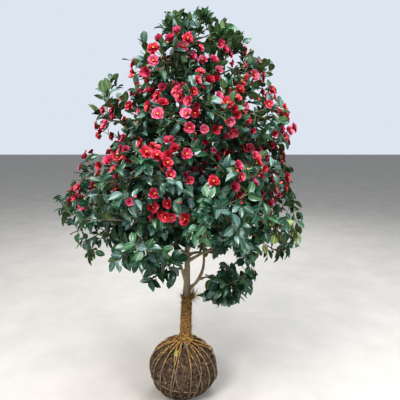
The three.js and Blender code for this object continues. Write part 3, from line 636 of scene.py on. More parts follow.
def bloom_places(growths, masses):
    """Where blooms and buds stand: on twig tips near the crown's surface, often two or three together."""
    draw = seeded(SEEDS["blooms"])
    blooms, buds = [], []
    for growth in growths:
        growth["stalks"] = []
        axis, tier = growth["mass"]["axis"], growth["mass"]["tier"]
        for twig in growth["twigs"]:
            if twig["level"] < 1 or twig.get("proud") or twig.get("sprig"):
                continue
            tip, heading = twig["points"][-1], heading_on(twig["points"], 1)
            chance = bloom_chance(tip, masses)
            at, turn, kind, look, company = (draw() for _ in range(5))
            out = unit(tip - np.array([axis, 0, tip[2]]))
            aside = np.cross(UP, out) * mix(*BLOOM["aside"], draw())
            face = unit(BLOOM_AHEAD * heading + BLOOM_OUT * out + aside + UP * mix(*BLOOM["up"], look))
            centre = tip + heading * BLOOM["past_tip"]
            if at < chance and room_for(centre, blooms, BLOOM["apart"]):
                blooms.append(bloom_row(centre, face, turn, kind, look, tier))
                for i in range(int(COMPANY["below"] * company * company)):
                    add_company(growth, twig, blooms, turn + COMPANY["turn"] * i, draw, centre, face)
            elif at < BLOOM["bud_chance"] * chance and room_for(centre, blooms + buds, BLOOM["bud_apart"]):
                buds.append((centre, unit(heading + BLOOM["bud_out"] * face), 2 * math.pi * turn,
                             mix(*BLOOM["bud_sizes"], kind), int(look * len(BUD_SHAPES)), 0, tier))
    return blooms, buds


def add_company(growth, twig, blooms, turn, draw, first, face):
    """A bloom close beside the first one on a twig, on a stalk of its own."""
    aside = turned(perpendicular(face), face, 2 * math.pi * turn)
    centre = first + aside * BLOOM_RADIUS * mix(*COMPANY["out"], draw()) - face * COMPANY["back"]
    facing, again = unit(face + COMPANY["lean"] * aside), draw()
    if room_for(centre, blooms, BLOOM["company_apart"]):
        blooms.append(bloom_row(centre, facing, again, draw(), draw(), growth["mass"]["tier"]))
        foot, sink = point_on(twig["points"], COMPANY["stalk_from"]), facing * COMPANY["stalk_sink"]
        stalk = bezier(foot, foot + (centre - foot) * COMPANY["stalk_pull"] - sink,
                       centre - facing * COMPANY["stalk_back"], centre - sink, 3)
        growth["stalks"].append(dict(points=stalk, level=2, radii=FINER[1]["radii"]))


# Meshes from arrays, and small shapes
def shown(obj):
    bpy.context.scene.collection.objects.link(obj)
    return obj


def write_layer(mesh, name, kind, domain, values):
    """An attribute of a mesh: whole numbers, numbers, vectors or quaternions."""
    values = np.asarray(values, np.int32 if kind == "INT" else np.float32).ravel()
    layer = mesh.attributes.new(name, kind, domain)
    layer.data.foreach_set("vector" if kind == "FLOAT_VECTOR" else "value", values)


def mesh_object(name, vertices, faces, parts=None, smooth=True):
    """An object of corners and faces, kept out of the scene. parts says which part of a small shape each
    face belongs to."""
    mesh = bpy.data.meshes.new(name)
    mesh.from_pydata([tuple(v) for v in vertices], [], [tuple(f) for f in faces])
    mesh.update()
    if smooth:
        mesh.shade_smooth()
    if parts is not None:
        write_layer(mesh, "part", "INT", "FACE", parts)
    return bpy.data.objects.new(name, mesh)


def joined(pieces):
    """The corners, faces and parts of several pieces together."""
    vertices, faces, parts = [], [], []
    for points, rings, part in pieces:
        start = len(vertices)
        vertices += list(points)
        faces += [[start + v for v in ring] for ring in rings]
        parts += [part] * len(rings)
    return vertices, faces, parts


def face_outwards(obj, sharp):
    """Turns a shape's faces outwards, and keeps its edges sharp from an angle on."""
    work = bmesh.new()
    work.from_mesh(obj.data)
    bmesh.ops.recalc_face_normals(work, faces=work.faces)
    work.to_mesh(obj.data)
    work.free()
    obj.data.set_sharp_from_angle(angle=math.radians(sharp))


def sphere(name, subdivisions, moved):
    """An object made from a sphere of radius 1, each corner moved by a rule."""
    work = bmesh.new()
    bmesh.ops.create_icosphere(work, subdivisions=subdivisions, radius=1.0)
    for vertex in work.verts:
        vertex.co = moved(vertex.co)
    mesh = bpy.data.meshes.new(name)
    work.to_mesh(mesh)
    work.free()
    return bpy.data.objects.new(name, mesh)


def bands(start, rings, sides):
    """The faces between rings of corners that are numbered from start on."""
    faces = []
    for a in range(start, start + (rings - 1) * sides, sides):
        for i in range(sides):
            k = (i + 1) % sides
            faces.append((a + i, a + k, a + sides + k, a + sides + i))
    return faces


def round_form(foot, rings, head):
    """Corners and faces of a closed form from rings of corners between two poles."""
    sides, last = len(rings[0]), 1 + len(rings) * len(rings[0])
    faces = [(0, 1 + (i + 1) % sides, 1 + i) for i in range(sides)] + bands(1, len(rings), sides)
    faces += [(last - sides + i, last - sides + (i + 1) % sides, last) for i in range(sides)]
    return [foot, *(corner for ring in rings for corner in ring), head], faces


def lathe(profile, sides):
    """Corners and faces of a round form from (radius, height) pairs, with poles at its ends."""
    turns = [2 * math.pi * i / sides for i in range(sides)]
    rings = [[(r * math.cos(turn), r * math.sin(turn), z) for turn in turns] for r, z in profile[1:-1]]
    return round_form((0, 0, profile[0][1]), rings, (0, 0, profile[-1][1]))


def tube(points, radii, sides):
    """Corners and faces of a closed round limb along a line."""
    vertices = []
    side = perpendicular(heading_on(points, 0))
    count = len(points)
    for i, (point, radius) in enumerate(zip(points, radii)):
        heading = heading_on(points, i / (count - 1))
        side = unit(side - heading * np.dot(side, heading))
        across = np.cross(heading, side)
        for k in range(sides):
            turn = 2 * math.pi * k / sides
            vertices.append(point + radius * (side * math.cos(turn) + across * math.sin(turn)))
    last = (count - 1) * sides
    caps = [tuple(range(sides))[::-1], tuple(last + k for k in range(sides))]
    return vertices, bands(0, count, sides) + caps


# A leaf's outline: how far along, and how wide there
LEAF_OUTLINE = [(0.0, 0.0), (0.08, 0.035), (0.25, 0.7), (0.48, 1.0), (0.74, 0.84), (0.92, 0.34), (1.0, 0.0)]
# The leaf shapes' width, fold along the midrib, droop and twist
LEAF_SHAPES = [(0.58, 0.3, 0.16, 0.2), (0.5, 0.5, 0.3, -0.35), (0.63, 0.22, 0.08, 0.4),
               (0.54, 0.62, 0.42, 0.1)]
# How much a leaf droops more towards its tip, where it starts to twist, and how far its two sides stand
# off its midrib's line
LEAF_DROOPING, LEAF_TWIST_FROM, LEAF_OVER, LEAF_BELOW = 2.2, 0.4, 0.005, 0.007


def leaf_shape(name, width, fold, droop, twist):
    """A leaf of length 1 along +X that faces +Z: folded along its midrib, pointed, on a short stalk.
    Part 0 is its upper side and part 1 its underside."""
    vertices, spots = [], []
    for share, wide in LEAF_OUTLINE:
        z, half = -droop * share ** LEAF_DROOPING, 0.5 * width * wide
        lift, roll = fold * half, twist * (share - LEAF_TWIST_FROM) * half
        if wide == 0:
            vertices.append((share, 0, z))
            spots.append((share, 0, 0))
        else:
            vertices += [(share, half, z + lift + roll), (share, 0, z + LEAF_OVER),
                         (share, -half, z + lift - roll), (share, 0, z - LEAF_BELOW)]
            spots += [(share, across, 0) for across in (1, 0, -1, 0)]
    middle = [[1 + 4 * i + k for k in range(4)] for i in range(len(LEAF_OUTLINE) - 2)]
    faces, parts = [], []
    for a, b in zip([[0] * 4] + middle, middle + [[len(vertices) - 1] * 4]):
        for edge, midrib, part in ((0, 1, 0), (2, 1, 0), (0, 3, 1), (2, 3, 1)):
            for corner in ((a[edge], a[midrib], b[midrib]), (a[edge], b[midrib], b[edge])):
                if len(set(corner)) == 3:
                    faces.append(corner)
                    parts.append(part)
    obj = mesh_object(name, vertices, faces, parts)
    write_layer(obj.data, "leaf_place", "FLOAT_VECTOR", "POINT", spots)
    face_outwards(obj, 95)
    return obj


# The rings of petals: how many, their length and half-width, how far they rise on an open and on a shut
# bloom, how cupped they are, and the panes along and across one
PETAL_RINGS = [(6, 1.0, 0.5, 0.16, 1.08, 0.5, 3, 4), (5, 0.78, 0.37, 0.5, 1.18, 0.6, 2, 4),
               (5, 0.5, 0.25, 0.86, 1.26, 0.7, 2, 2)]
# A petal's half-width from its foot to its rim, the dent in its rim, and how far its rim curves back
PETAL_WIDTHS, PETAL_DENT, PETAL_CURVE = (0.3, 0.84, 1.0, 0.68), 0.09, 0.24
PETAL_THICKNESS, PETAL_RIPPLE, PETAL_WAVE = 0.024, 0.2, 0.07
# How the petals of a ring vary: their lengths, widths and curls, how unevenly they turn and rise
PETALS_VARY = dict(lengths=(0.88, 1.06), widths=(0.86, 1.1), curls=(0.0, 0.22), turn=0.4, rise=0.2)
# How far open each bloom shape is, and the ones that show their stamens
OPENED, OPEN_SHAPES = (1.0, 0.82, 0.62, 0.95, 0.3), (0, 1, 3)


def petal(length, half_width, rise, cup, curl, turn, along, across, draw):
    """The corners and faces of one petal, a thin shell, and how near its rim each corner is."""
    widths = np.interp(np.linspace(0, 1, along + 1), [0, 0.33, 0.66, 1], PETAL_WIDTHS)
    ripple, wave = PETAL_RIPPLE * (draw() - 0.5), 6 * draw()
    vertices, index, foot_shade_to_rim_light = [], {}, []

    def corner(side, j, i):
        key = (0 if i in (0, across) or j in (0, along) else side, j, i)
        if key in index:
            return index[key]
        v, u = j / along, 2 * i / across - 1
        dent = PETAL_DENT if 2 * i == across and j == along else 0
        reach = length * ((0.06 + 0.94 * v) * (1 - dent) - PETAL_CURVE * u * u * v)
        up = reach * math.sin(rise) + cup * half_width * u * u * v - curl * length * v ** 3
        up += ripple * half_width * u * v + PETAL_WAVE * half_width * v * math.sin(wave + 3 * u)
        up -= PETAL_THICKNESS * key[0]
        x, y = reach * math.cos(rise), half_width * widths[j] * u
        vertices.append((x * math.cos(turn) - y * math.sin(turn),
                         x * math.sin(turn) + y * math.cos(turn), up))
        foot_shade_to_rim_light.append(min(1.0, v ** 1.5 + 0.35 * u * u * v))
        index[key] = len(vertices) - 1
        return index[key]

    faces = []
    for side in (0, 1):
        for j in range(along):
            for i in range(across):
                ring = [corner(side, *at) for at in ((j, i), (j, i + 1), (j + 1, i + 1), (j + 1, i))]
                faces.append(ring[::-1] if side == 0 else ring)
    return vertices, faces, foot_shade_to_rim_light


def bloom_shape(name, seed, opened):
    """A bloom of radius 1 that faces +Z, with rings of wavy petals."""
    draw = seeded(seed)
    pieces, foot_shade_to_rim_light = [], []
    for level, (count, length, width, flat, shut, cup, along, across) in enumerate(PETAL_RINGS):
        for i in range(count):
            turn = 2 * math.pi * (i + PETALS_VARY["turn"] * draw() + 0.5 * level) / count
            rise = mix(shut, flat, opened) + PETALS_VARY["rise"] * (i % 2) + PETALS_VARY["rise"] * draw()
            reach = length * mix(*PETALS_VARY["lengths"], draw())
            half_width = width * mix(*PETALS_VARY["widths"], draw())
            curl = mix(*PETALS_VARY["curls"], draw())
            points, faces, edge = petal(reach, half_width, rise, cup, curl, turn, along, across, draw)
            pieces.append((points, faces, 0))
            foot_shade_to_rim_light += edge
    obj = mesh_object(name, *joined(pieces))
    # How near the rim each corner is: the petals' painted shade at the foot and painted highlight at the rim
    # follow it
    write_layer(obj.data, "rim", "FLOAT", "POINT", foot_shade_to_rim_light)
    face_outwards(obj, 100)
    return obj


# The column of filaments in a bloom, as (radius, height) pairs; the anthers on it, their sizes and heights
COLUMN = [(0, 0), (0.12, 0.02), (0.17, 0.3), (0.1, 0.34), (0, 0.33)]
ANTHERS, ANTHER_SIZES, ANTHER_HEIGHTS = 13, (0.034, 0.05), (0.36, 0.44)


def stamen_shape(name, seed):
    """The middle of a bloom: a short column of filaments with anthers on it. Part 1 is the anthers."""
    draw = seeded(seed)
    pieces = [(*lathe(COLUMN, 8), 0)]
    for i in range(ANTHERS):
        turn, out = i * GOLDEN_TURN, 0.03 + 0.12 * math.sqrt((i + 0.5) / ANTHERS)
        x, y, z = out * math.cos(turn), out * math.sin(turn), mix(*ANTHER_HEIGHTS, draw()) - 0.3 * out
        r = mix(*ANTHER_SIZES, draw())
        corners = [(x + r, y, z), (x, y + r, z), (x - r, y, z), (x, y - r, z), (x, y, z + r), (x, y, z - r)]
        rings = [(0, 1, 4), (1, 2, 4), (2, 3, 4), (3, 0, 4), (1, 0, 5), (2, 1, 5), (3, 2, 5), (0, 3, 5)]
        pieces.append((corners, rings, 1))
    return mesh_object(name, *joined(pieces))


# The green scales behind a bloom, as (radius, height) pairs
CALYX = [(0, -0.3), (0.1, -0.28), (0.24, -0.1), (0.3, 0.04), (0, 0.02)]
# The bud shapes: how far the petals' tip stands out, and how fat they are
BUD_SHAPES = [(0.5, 1.0), (0.28, 1.0), (0.1, 0.8)]


def bud_shape(name, tip_length, fat):
    """A bud along +Z: green scales round its foot, part 0, and the petals' tip, part 1."""
    scales = [(0, -0.1), (0.16 * fat, 0.0), (0.27 * fat, 0.2), (0.24 * fat, 0.42), (0, 0.4)]
    tip = [(0, 0.1), (0.2 * fat, 0.2), (0.245 * fat, 0.42), (0.15 * fat, 0.42 + 0.6 * tip_length),
           (0, 0.42 + tip_length)]
    return mesh_object(name, *joined([(*lathe(scales, 7), 0), (*lathe(tip, 7), 1)]))


# Geometry Nodes
def new_tree(name, kind, inputs, output):
    """An empty node group, with the nodes that hold what it is given and what it returns."""
    tree = bpy.data.node_groups.new(name, kind)
    for label, socket in inputs:
        tree.interface.new_socket(label, in_out="INPUT", socket_type=f"NodeSocket{socket}")
    tree.interface.new_socket(output[0], in_out="OUTPUT", socket_type=f"NodeSocket{output[1]}")
    return tree, tree.nodes.new("NodeGroupInput").outputs, tree.nodes.new("NodeGroupOutput").inputs[0]


def add_node(tree, kind, links=(), **settings):
    """A node of a tree. links are (input, value or output socket) pairs."""
    node = tree.nodes.new(kind)
    for key, value in settings.items():
        setattr(node, key, value)
    for socket, value in links:
        target = node.inputs[socket]
        if isinstance(value, bpy.types.NodeSocket):
            tree.links.new(value, target)
        else:
            target.default_value = value
    return node


def step(tree, kind, *links, **settings):
    """The first output of a new node."""
    return add_node(tree, kind, links, **settings).outputs[0]


def maths(tree, operation, *values):
    return step(tree, "ShaderNodeMath", *enumerate(values), operation=operation)


def attribute(tree, name, kind):
    return step(tree, "GeometryNodeInputNamedAttribute", ("Name", name), data_type=kind)


def is_equal(tree, name, number):
    return step(tree, "FunctionNodeCompare", (2, attribute(tree, name, "INT")), (3, number), data_type="INT",
                operation="EQUAL")


def geometry_tree(name, *inputs):
    return new_tree(name, "GeometryNodeTree", [("Geometry", "Geometry"), *inputs], ("Geometry", "Geometry"))


def placing_tree(name, finishes):
    """A tree that sets small shapes on points. finishes holds, for each tone, the materials of a shape's
    parts in turn."""
    tree, given, result = geometry_tree(name, ("Shapes", "Collection"), ("Size", "Float"))
    shapes = step(tree, "GeometryNodeCollectionInfo", ("Collection", given["Shapes"]),
                  ("Separate Children", True), ("Reset Children", True))
    size = maths(tree, "MULTIPLY", attribute(tree, "size", "FLOAT"), given["Size"])
    together = tree.nodes.new("GeometryNodeJoinGeometry")
    for tone, materials in enumerate(finishes):
        placed = step(tree, "GeometryNodeInstanceOnPoints", ("Points", given["Geometry"]),
                      ("Selection", is_equal(tree, "tone", tone)), ("Instance", shapes),
                      ("Pick Instance", True), ("Instance Index", attribute(tree, "shape", "INT")),
                      ("Rotation", attribute(tree, "turn", "QUATERNION")), ("Scale", size))
        geometry = step(tree, "GeometryNodeRealizeInstances", ("Geometry", placed))
        for part, material in enumerate(materials):
            geometry = step(tree, "GeometryNodeSetMaterial", ("Geometry", geometry),
                            ("Selection", is_equal(tree, "part", part)), ("Material", material))
        tree.links.new(geometry, together.inputs[0])
    tree.links.new(together.outputs[0], result)
    return tree


def finish_skin(tree, curve, section, scale, material, result):
    """Gives curves a closed skin of a section, smooth and of one material."""
    skin = step(tree, "GeometryNodeCurveToMesh", ("Curve", curve), ("Profile Curve", section),
                ("Scale", scale), ("Fill Caps", True))
    smooth = step(tree, "GeometryNodeSetShadeSmooth", ("Geometry", skin))
    whole = step(tree, "GeometryNodeRealizeInstances", ("Geometry", smooth))
    painted = step(tree, "GeometryNodeSetMaterial", ("Geometry", whole), ("Material", material))
    tree.links.new(painted, result)


def twig_tree(material):
    """A tree that gives lines a round skin of the thickness they carry."""
    tree, given, result = geometry_tree("twig skins", ("Sides", "Int"))
    lines = step(tree, "GeometryNodeMeshToCurve", ("Mesh", given["Geometry"]))
    thickness = attribute(tree, "thickness", "FLOAT")
    thick = step(tree, "GeometryNodeSetCurveRadius", ("Curve", lines), ("Radius", thickness))
    section = step(tree, "GeometryNodeCurvePrimitiveCircle", ("Resolution", given["Sides"]), ("Radius", 1.0))
    finish_skin(tree, thick, section, thickness, material, result)
    return tree


# A rope's section: three strands of four corners each, its mean radius and how far the strands stand out
ROPE_SECTION, ROPE_MEAN, ROPE_LOBE = 12, 0.88, 0.14


def rope_tree(material):
    """A tree that lays a rope of three twisted strands along lines."""
    tree, given, result = geometry_tree("twisted rope", ("Radius", "Float"), ("Lay", "Float"),
                                        ("Spacing", "Float"))
    lines = step(tree, "GeometryNodeMeshToCurve", ("Mesh", given["Geometry"]))
    even = step(tree, "GeometryNodeResampleCurve", ("Curve", lines), ("Length", given["Spacing"]),
                mode="LENGTH")
    along = add_node(tree, "GeometryNodeSplineParameter").outputs["Length"]
    angle = maths(tree, "MULTIPLY", maths(tree, "DIVIDE", along, given["Lay"]), 2 * math.pi)
    twisted = step(tree, "GeometryNodeSetCurveTilt", ("Curve", even), ("Tilt", angle))
    section = step(tree, "GeometryNodeCurvePrimitiveCircle", ("Resolution", ROPE_SECTION), ("Radius", 1.0))
    turn = maths(tree, "MULTIPLY", step(tree, "GeometryNodeInputIndex"), math.pi / 2)
    lobe = maths(tree, "MULTIPLY_ADD", maths(tree, "COSINE", turn), ROPE_LOBE, ROPE_MEAN)
    lobed = step(tree, "ShaderNodeVectorMath", (0, step(tree, "GeometryNodeInputPosition")), ("Scale", lobe),
                 operation="SCALE")
    section = step(tree, "GeometryNodeSetPosition", ("Geometry", section), ("Position", lobed))
    finish_skin(tree, twisted, section, given["Radius"], material, result)
    return tree


def evaluated(name, obj):
    """An object in the scene with the plain mesh that another's modifiers make; the other goes."""
    graph = bpy.context.evaluated_depsgraph_get()
    mesh = bpy.data.meshes.new_from_object(obj.evaluated_get(graph), depsgraph=graph)
    bpy.data.objects.remove(obj)
    mesh.name = name
    return shown(bpy.data.objects.new(name, mesh))


def grown(name, seed_mesh, tree, **values):
    """The piece that a Geometry Nodes tree makes of a mesh of points or lines."""
    carrier = shown(bpy.data.objects.new(name + "_plan", seed_mesh))
    modifier = carrier.modifiers.new("grow", "NODES")
    modifier.node_group = tree
    for item in tree.interface.items_tree:
        if item.in_out == "INPUT" and item.name in values:
            modifier[item.identifier] = values[item.name]
    piece = evaluated(name, carrier)
    for layer in ("size", "shape", "tone", "turn", "thickness", "part"):
        if layer in piece.data.attributes:
            piece.data.attributes.remove(piece.data.attributes[layer])
    return piece


def place(obj, slot, *nodes, material=None):
    """A finished piece goes with the tree and takes the place of its solids."""
    if material:
        obj.data.materials.append(material)
    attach(obj, "root")
    if nodes:
        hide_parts(*nodes)


def shape_set(name, shapes, finishes):
    """Small shapes kept out of the scene, in the order of their names, and the tree that places them."""
    collection = bpy.data.collections.new(name)
    for obj in shapes:
        collection.objects.link(obj)
    return collection, placing_tree(name, finishes)


def set_out(name, rows, shapes, slot, *nodes, size=1.0):
    """A piece made of small shapes. rows say where each stands, its turn, size, shape and tone."""
    places, turns, sizes, kinds, tones = zip(*rows)
    mesh = bpy.data.meshes.new("points")
    mesh.from_pydata([tuple(p) for p in places], [], [])
    for layer, kind, values in (("turn", "QUATERNION", turns), ("size", "FLOAT", sizes),
                                ("shape", "INT", kinds), ("tone", "INT", tones)):
        write_layer(mesh, layer, kind, "POINT", values)
    place(grown(name, mesh, shapes[1], Shapes=shapes[0], Size=size), slot, *nodes)


def lines_mesh(lines, thicknesses=None):
    mesh = bpy.data.meshes.new("lines")
    edges, start = [], 0
    for line in lines:
        edges += [(start + i, start + i + 1) for i in range(len(line) - 1)]
        start += len(line)
    mesh.from_pydata(np.vstack(lines).tolist(), edges, [])
    if thicknesses is not None:
        write_layer(mesh, "thickness", "FLOAT", "POINT", np.concatenate(thicknesses))
    return mesh


def turn_to(along, face):
    """The turn that brings +X to along and +Z as near to face as it can."""
    x = unit(along)
    y = unit(np.cross(face, x))
    return tuple(Matrix(np.array([x, y, np.cross(x, y)]).T.tolist()).to_quaternion())


def turn_facing(face, roll):
    """The turn that brings +Z to face, rolled about it."""
    z = unit(face)
    return turn_to(turned(perpendicular(z), z, roll), z)


# Materials
def srgb(r, g, b):
    """A colour given in 0 to 255, as a node takes it."""
    return *((c / 255 / 12.92 if c <= 10 else ((c / 255 + 0.055) / 1.055) ** 2.4) for c in (r, g, b)), 1


def ranged(tree, value, low, high, to_low=0.0, to_high=1.0):
    return step(tree, "ShaderNodeMapRange", ("Value", value), ("From Min", low), ("From Max", high),
                ("To Min", to_low), ("To Max", to_high))


def blended(tree, mask, first, second):
    """A colour between two by a mask."""
    node = add_node(tree, "ShaderNodeMix", [(0, mask), (6, first), (7, second)], data_type="RGBA")
    return node.outputs[2]


def mottle_group():
    """Soft patches over a surface, as a mask."""
    tree, given, result = new_tree("mottle", "ShaderNodeTree", [("Scale", "Float"), ("Stretch", "Vector")],
                                   ("Mask", "Float"))
    place = tree.nodes.new("ShaderNodeTexCoord").outputs["Object"]
    stretched = step(tree, "ShaderNodeVectorMath", (0, place), (1, given["Stretch"]), operation="MULTIPLY")
    noisy = step(tree, "ShaderNodeTexNoise", ("Vector", stretched), ("Scale", given["Scale"]),
                 ("Detail", 5.0), ("Roughness", 0.62))
    tree.links.new(ranged(tree, noisy, 0.3, 0.7), result)
    return tree


def veins_and_edge_highlight_group():
    """A leaf's midrib and side veins, and a painted highlight along its margin, as a mask, from each spot's
    place along and across it.
    """
    tree, _, result = new_tree("veins", "ShaderNodeTree", [], ("Mask", "Float"))
    spot = add_node(tree, "ShaderNodeAttribute", attribute_name="leaf_place").outputs["Vector"]
    axes = add_node(tree, "ShaderNodeSeparateXYZ", [(0, spot)]).outputs
    across = maths(tree, "ABSOLUTE", axes["Y"])
    slant = maths(tree, "MULTIPLY_ADD", across, -1.5, 0.0)
    along = maths(tree, "MULTIPLY_ADD", axes["X"], 8.0, slant)
    sides = ranged(tree, maths(tree, "PINGPONG", along, 0.5), 0.1, 0.02, to_high=0.4)
    veins = maths(tree, "MAXIMUM", ranged(tree, across, 0.24, 0.06), sides)
    # The band along the margin is a painted highlight
    tree.links.new(maths(tree, "MAXIMUM", veins, ranged(tree, across, 0.8, 1.0, to_high=0.6)), result)
    return tree


MOTTLE, VEINS_AND_EDGE_HIGHLIGHT = mottle_group(), veins_and_edge_highlight_group()


def mottle(tree, scale, stretch=(1, 1, 1)):
    return step(tree, "ShaderNodeGroup", ("Scale", scale), ("Stretch", stretch), node_tree=MOTTLE)


def shader(name, colour, roughness, **sockets):
    """A new material with its tree and a function that sets or links an input of its surface."""
    material = bpy.data.materials.new(name)
    material.use_nodes = True
    tree = material.node_tree
    surface = tree.nodes["Principled BSDF"]

    def give(socket, value):
        target = surface.inputs[socket]
        if isinstance(value, bpy.types.NodeSocket):
            tree.links.new(value, target)
        else:
            target.default_value = value

    give("Base Color", colour)
    give("Roughness", roughness)
    for socket, value in sockets.items():
        give(socket.replace("_", " "), value)
    return material, tree, give


def bumped(tree, height, strength, depth):
    return step(tree, "ShaderNodeBump", ("Strength", strength), ("Distance", depth), ("Height", height))


def mottled(name, low, high, roughness, scale, stretch=(1, 1, 1), bump=0.0, bump_scale=None, depth=0.001,
            vein_and_edge_highlight=None, **sockets):
    """A material that varies between two colours in patches, with a fine relief, or a leaf's veins and the
    painted highlight along its margin.
    """
    material, tree, give = shader(name, srgb(*low), roughness[0], **sockets)
    mask = mottle(tree, scale, stretch)
    colour = blended(tree, mask, srgb(*low), srgb(*high))
    if vein_and_edge_highlight:
        colour = blended(tree, step(tree, "ShaderNodeGroup", node_tree=VEINS_AND_EDGE_HIGHLIGHT), colour, srgb(*vein_and_edge_highlight))
    give("Base Color", colour)
    give("Roughness", ranged(tree, mask, 0.0, 1.0, *roughness))
    if bump:
        give("Normal", bumped(tree, mottle(tree, bump_scale, stretch), bump, depth))
    return material


def petal_painted_shade_and_highlight(name, heart_with_shade, rim):
    """Petals deep red at their foot, darkened there with painted shade inside the cup, and paler towards
    their rim, partly their own paler margin and partly a painted highlight.
    """
    material, tree, give = shader(name, srgb(*heart_with_shade), 0.55)
    rim_margin_and_highlight = add_node(tree, "ShaderNodeAttribute", attribute_name="rim").outputs["Fac"]
    uneven = maths(tree, "MULTIPLY_ADD", mottle(tree, 120), 0.5, -0.25)
    share = ranged(tree, maths(tree, "ADD", rim_margin_and_highlight, uneven), 0.15, 1.1)
    give("Base Color", blended(tree, share, srgb(*heart_with_shade), srgb(*rim)))
    return material


# The straw's colours low down, where it is muddy, and high up, and the heights in between
STRAW_LOW, STRAW_HIGH = ((80, 67, 54), (126, 109, 87)), ((66, 45, 22), (184, 146, 88))
STRAW_HEIGHTS, STRAW_WANDER = (0.22, 0.31), 0.09


def straw_material(name):
    """Straw rope, muddier towards the ground, with fine fibres."""
    material, tree, give = shader(name, srgb(*STRAW_HIGH[0]), 0.8)
    place = tree.nodes.new("ShaderNodeTexCoord").outputs["Object"]
    height = add_node(tree, "ShaderNodeSeparateXYZ", [(0, place)]).outputs["Z"]
    patches = mottle(tree, 85)
    wander = maths(tree, "MULTIPLY_ADD", patches, STRAW_WANDER, -STRAW_WANDER / 2)
    clean = ranged(tree, maths(tree, "ADD", height, wander), *STRAW_HEIGHTS)
    low, high = (blended(tree, patches, srgb(*pair[0]), srgb(*pair[1])) for pair in (STRAW_LOW, STRAW_HIGH))
    give("Base Color", blended(tree, clean, low, high))
    give("Normal", bumped(tree, mottle(tree, 700), 0.8, 0.0012))
    return material


# The leaves' upper sides: two greens, the colour of the veins and of the painted highlight along the margin,
# the roughness, the gloss and its roughness, the sheen
LEAF_TONES = [
    ("deep", (14, 46, 31), (22, 58, 39), (54, 82, 64), (0.3, 0.42), 0.25, 0.26, 0.35),
    # The blue tone is partly the leaves' own bluer green and partly a painted bluish sheen of the sky
    ("blue_sheen", (36, 63, 56), (50, 79, 70), (86, 106, 96), (0.32, 0.44), 0.4, 0.34, 0.5),
    ("mid", (27, 64, 42), (39, 78, 50), (80, 102, 70), (0.32, 0.44), 0.28, 0.34, 0.4),
    ("fresh", (74, 92, 40), (98, 112, 52), (128, 136, 76), (0.36, 0.5), 0.2, 0.34, 0.5),
    ("olive", (50, 64, 32), (70, 82, 40), (100, 106, 62), (0.36, 0.5), 0.2, 0.34, 0.5),
]
LEAF_TOPS = [mottled(f"leaf_{name}", low, high, rough, 30, vein_and_edge_highlight=vein_and_edge_highlight, Coat_Weight=gloss,
                     Coat_Roughness=gloss_rough, Specular_IOR_Level=sheen)
             for name, low, high, vein_and_edge_highlight, rough, gloss, gloss_rough, sheen in LEAF_TONES]
LEAF_FALLEN = mottled("leaf_fallen", (98, 110, 44), (124, 132, 60), (0.45, 0.55), 60, vein_and_edge_highlight=(136, 140, 76))
LEAF_UNDER = mottled("leaf_under", (62, 86, 56), (82, 104, 68), (0.55, 0.65), 60, vein_and_edge_highlight=(108, 126, 86))
LEAF_UNDER_YOUNG = mottled("leaf_under_young", (68, 80, 44), (86, 96, 54), (0.55, 0.65), 60,
                           vein_and_edge_highlight=(104, 112, 68))
# Each bloom tone: a heart that carries the painted shade of the cup, and a rim that is partly a paler margin
# and partly a painted highlight
PETALS = [petal_painted_shade_and_highlight("petal_rose", (150, 14, 38), (166, 66, 96)),
          petal_painted_shade_and_highlight("petal_red", (134, 8, 26), (158, 36, 60)),
          petal_painted_shade_and_highlight("petal_pink", (160, 26, 56), (178, 98, 124))]
FILAMENT = mottled("filament", (196, 104, 56), (214, 134, 74), (0.5, 0.6), 200)
ANTHER = mottled("anther", (186, 122, 46), (208, 150, 68), (0.6, 0.7), 300)
SEPAL = mottled("sepal", (96, 104, 50), (122, 120, 66), (0.5, 0.6), 120)
BUD_TIP = mottled("bud_tip", (200, 30, 52), (222, 60, 82), (0.45, 0.55), 120)
BARK = mottled("bark", (112, 100, 82), (160, 146, 122), (0.8, 0.92), 38, (1, 1, 0.35), bump=0.7,
               bump_scale=260, depth=0.0012)
BARK_OLD = mottled("bark_old", (78, 68, 58), (116, 104, 90), (0.85, 0.95), 60)
BARK_YOUNG = mottled("bark_young", (66, 60, 45), (98, 90, 68), (0.7, 0.85), 60)
SHOOT = mottled("shoot", (78, 76, 46), (110, 100, 68), (0.6, 0.75), 80)
SOIL = mottled("soil", (26, 20, 16), (116, 95, 76), (0.92, 0.98), 46, bump=1.0, bump_scale=100, depth=0.011)
SOIL_CRUMB = mottled("soil_crumb", (36, 28, 22), (126, 106, 85), (0.92, 0.98), 70, bump=0.8, bump_scale=300,
                     depth=0.002)
STRAW = straw_material("straw_rope")
STRAW_LOOSE = mottled("straw_loose", (112, 86, 48), (184, 148, 92), (0.75, 0.85), 90)


def add_camera():
    lens = bpy.data.cameras.new("camera")
    lens.lens, lens.sensor_width = LENS, SENSOR
    camera = shown(bpy.data.objects.new("camera", lens))
    camera.location = EYE
    camera.rotation_euler = (math.radians(90 - LOOKING_DOWN), 0, 0)
    bpy.context.scene.camera = camera
    bpy.context.scene.view_settings.view_transform = "Standard"
    bpy.context.scene.view_settings.look = "High Contrast"


add_camera()
masses = plan_crown()
boughs = plan_boughs(masses)


# Limbs
def relief(obj, *layers):
    """Moves a mesh's points along their normals by uneven amounts, layer after layer."""
    vertices = obj.data.vertices
    for amount, scale, stretch, seed in layers:
        places, normals = (np.empty(len(vertices) * 3, np.float32) for _ in range(2))
        vertices.foreach_get("co", places)
        vertices.foreach_get("normal", normals)
        places, normals = places.reshape(-1, 3), normals.reshape(-1, 3)
        probe = places * np.array(stretch) * scale + seed
        heights = np.array([noise.fractal(Vector(p), 0.9, 2.1, 4) for p in probe])
        moved = places + normals * heights[:, None] * amount
        vertices.foreach_set("co", moved.astype(np.float32).ravel())
        obj.data.update()


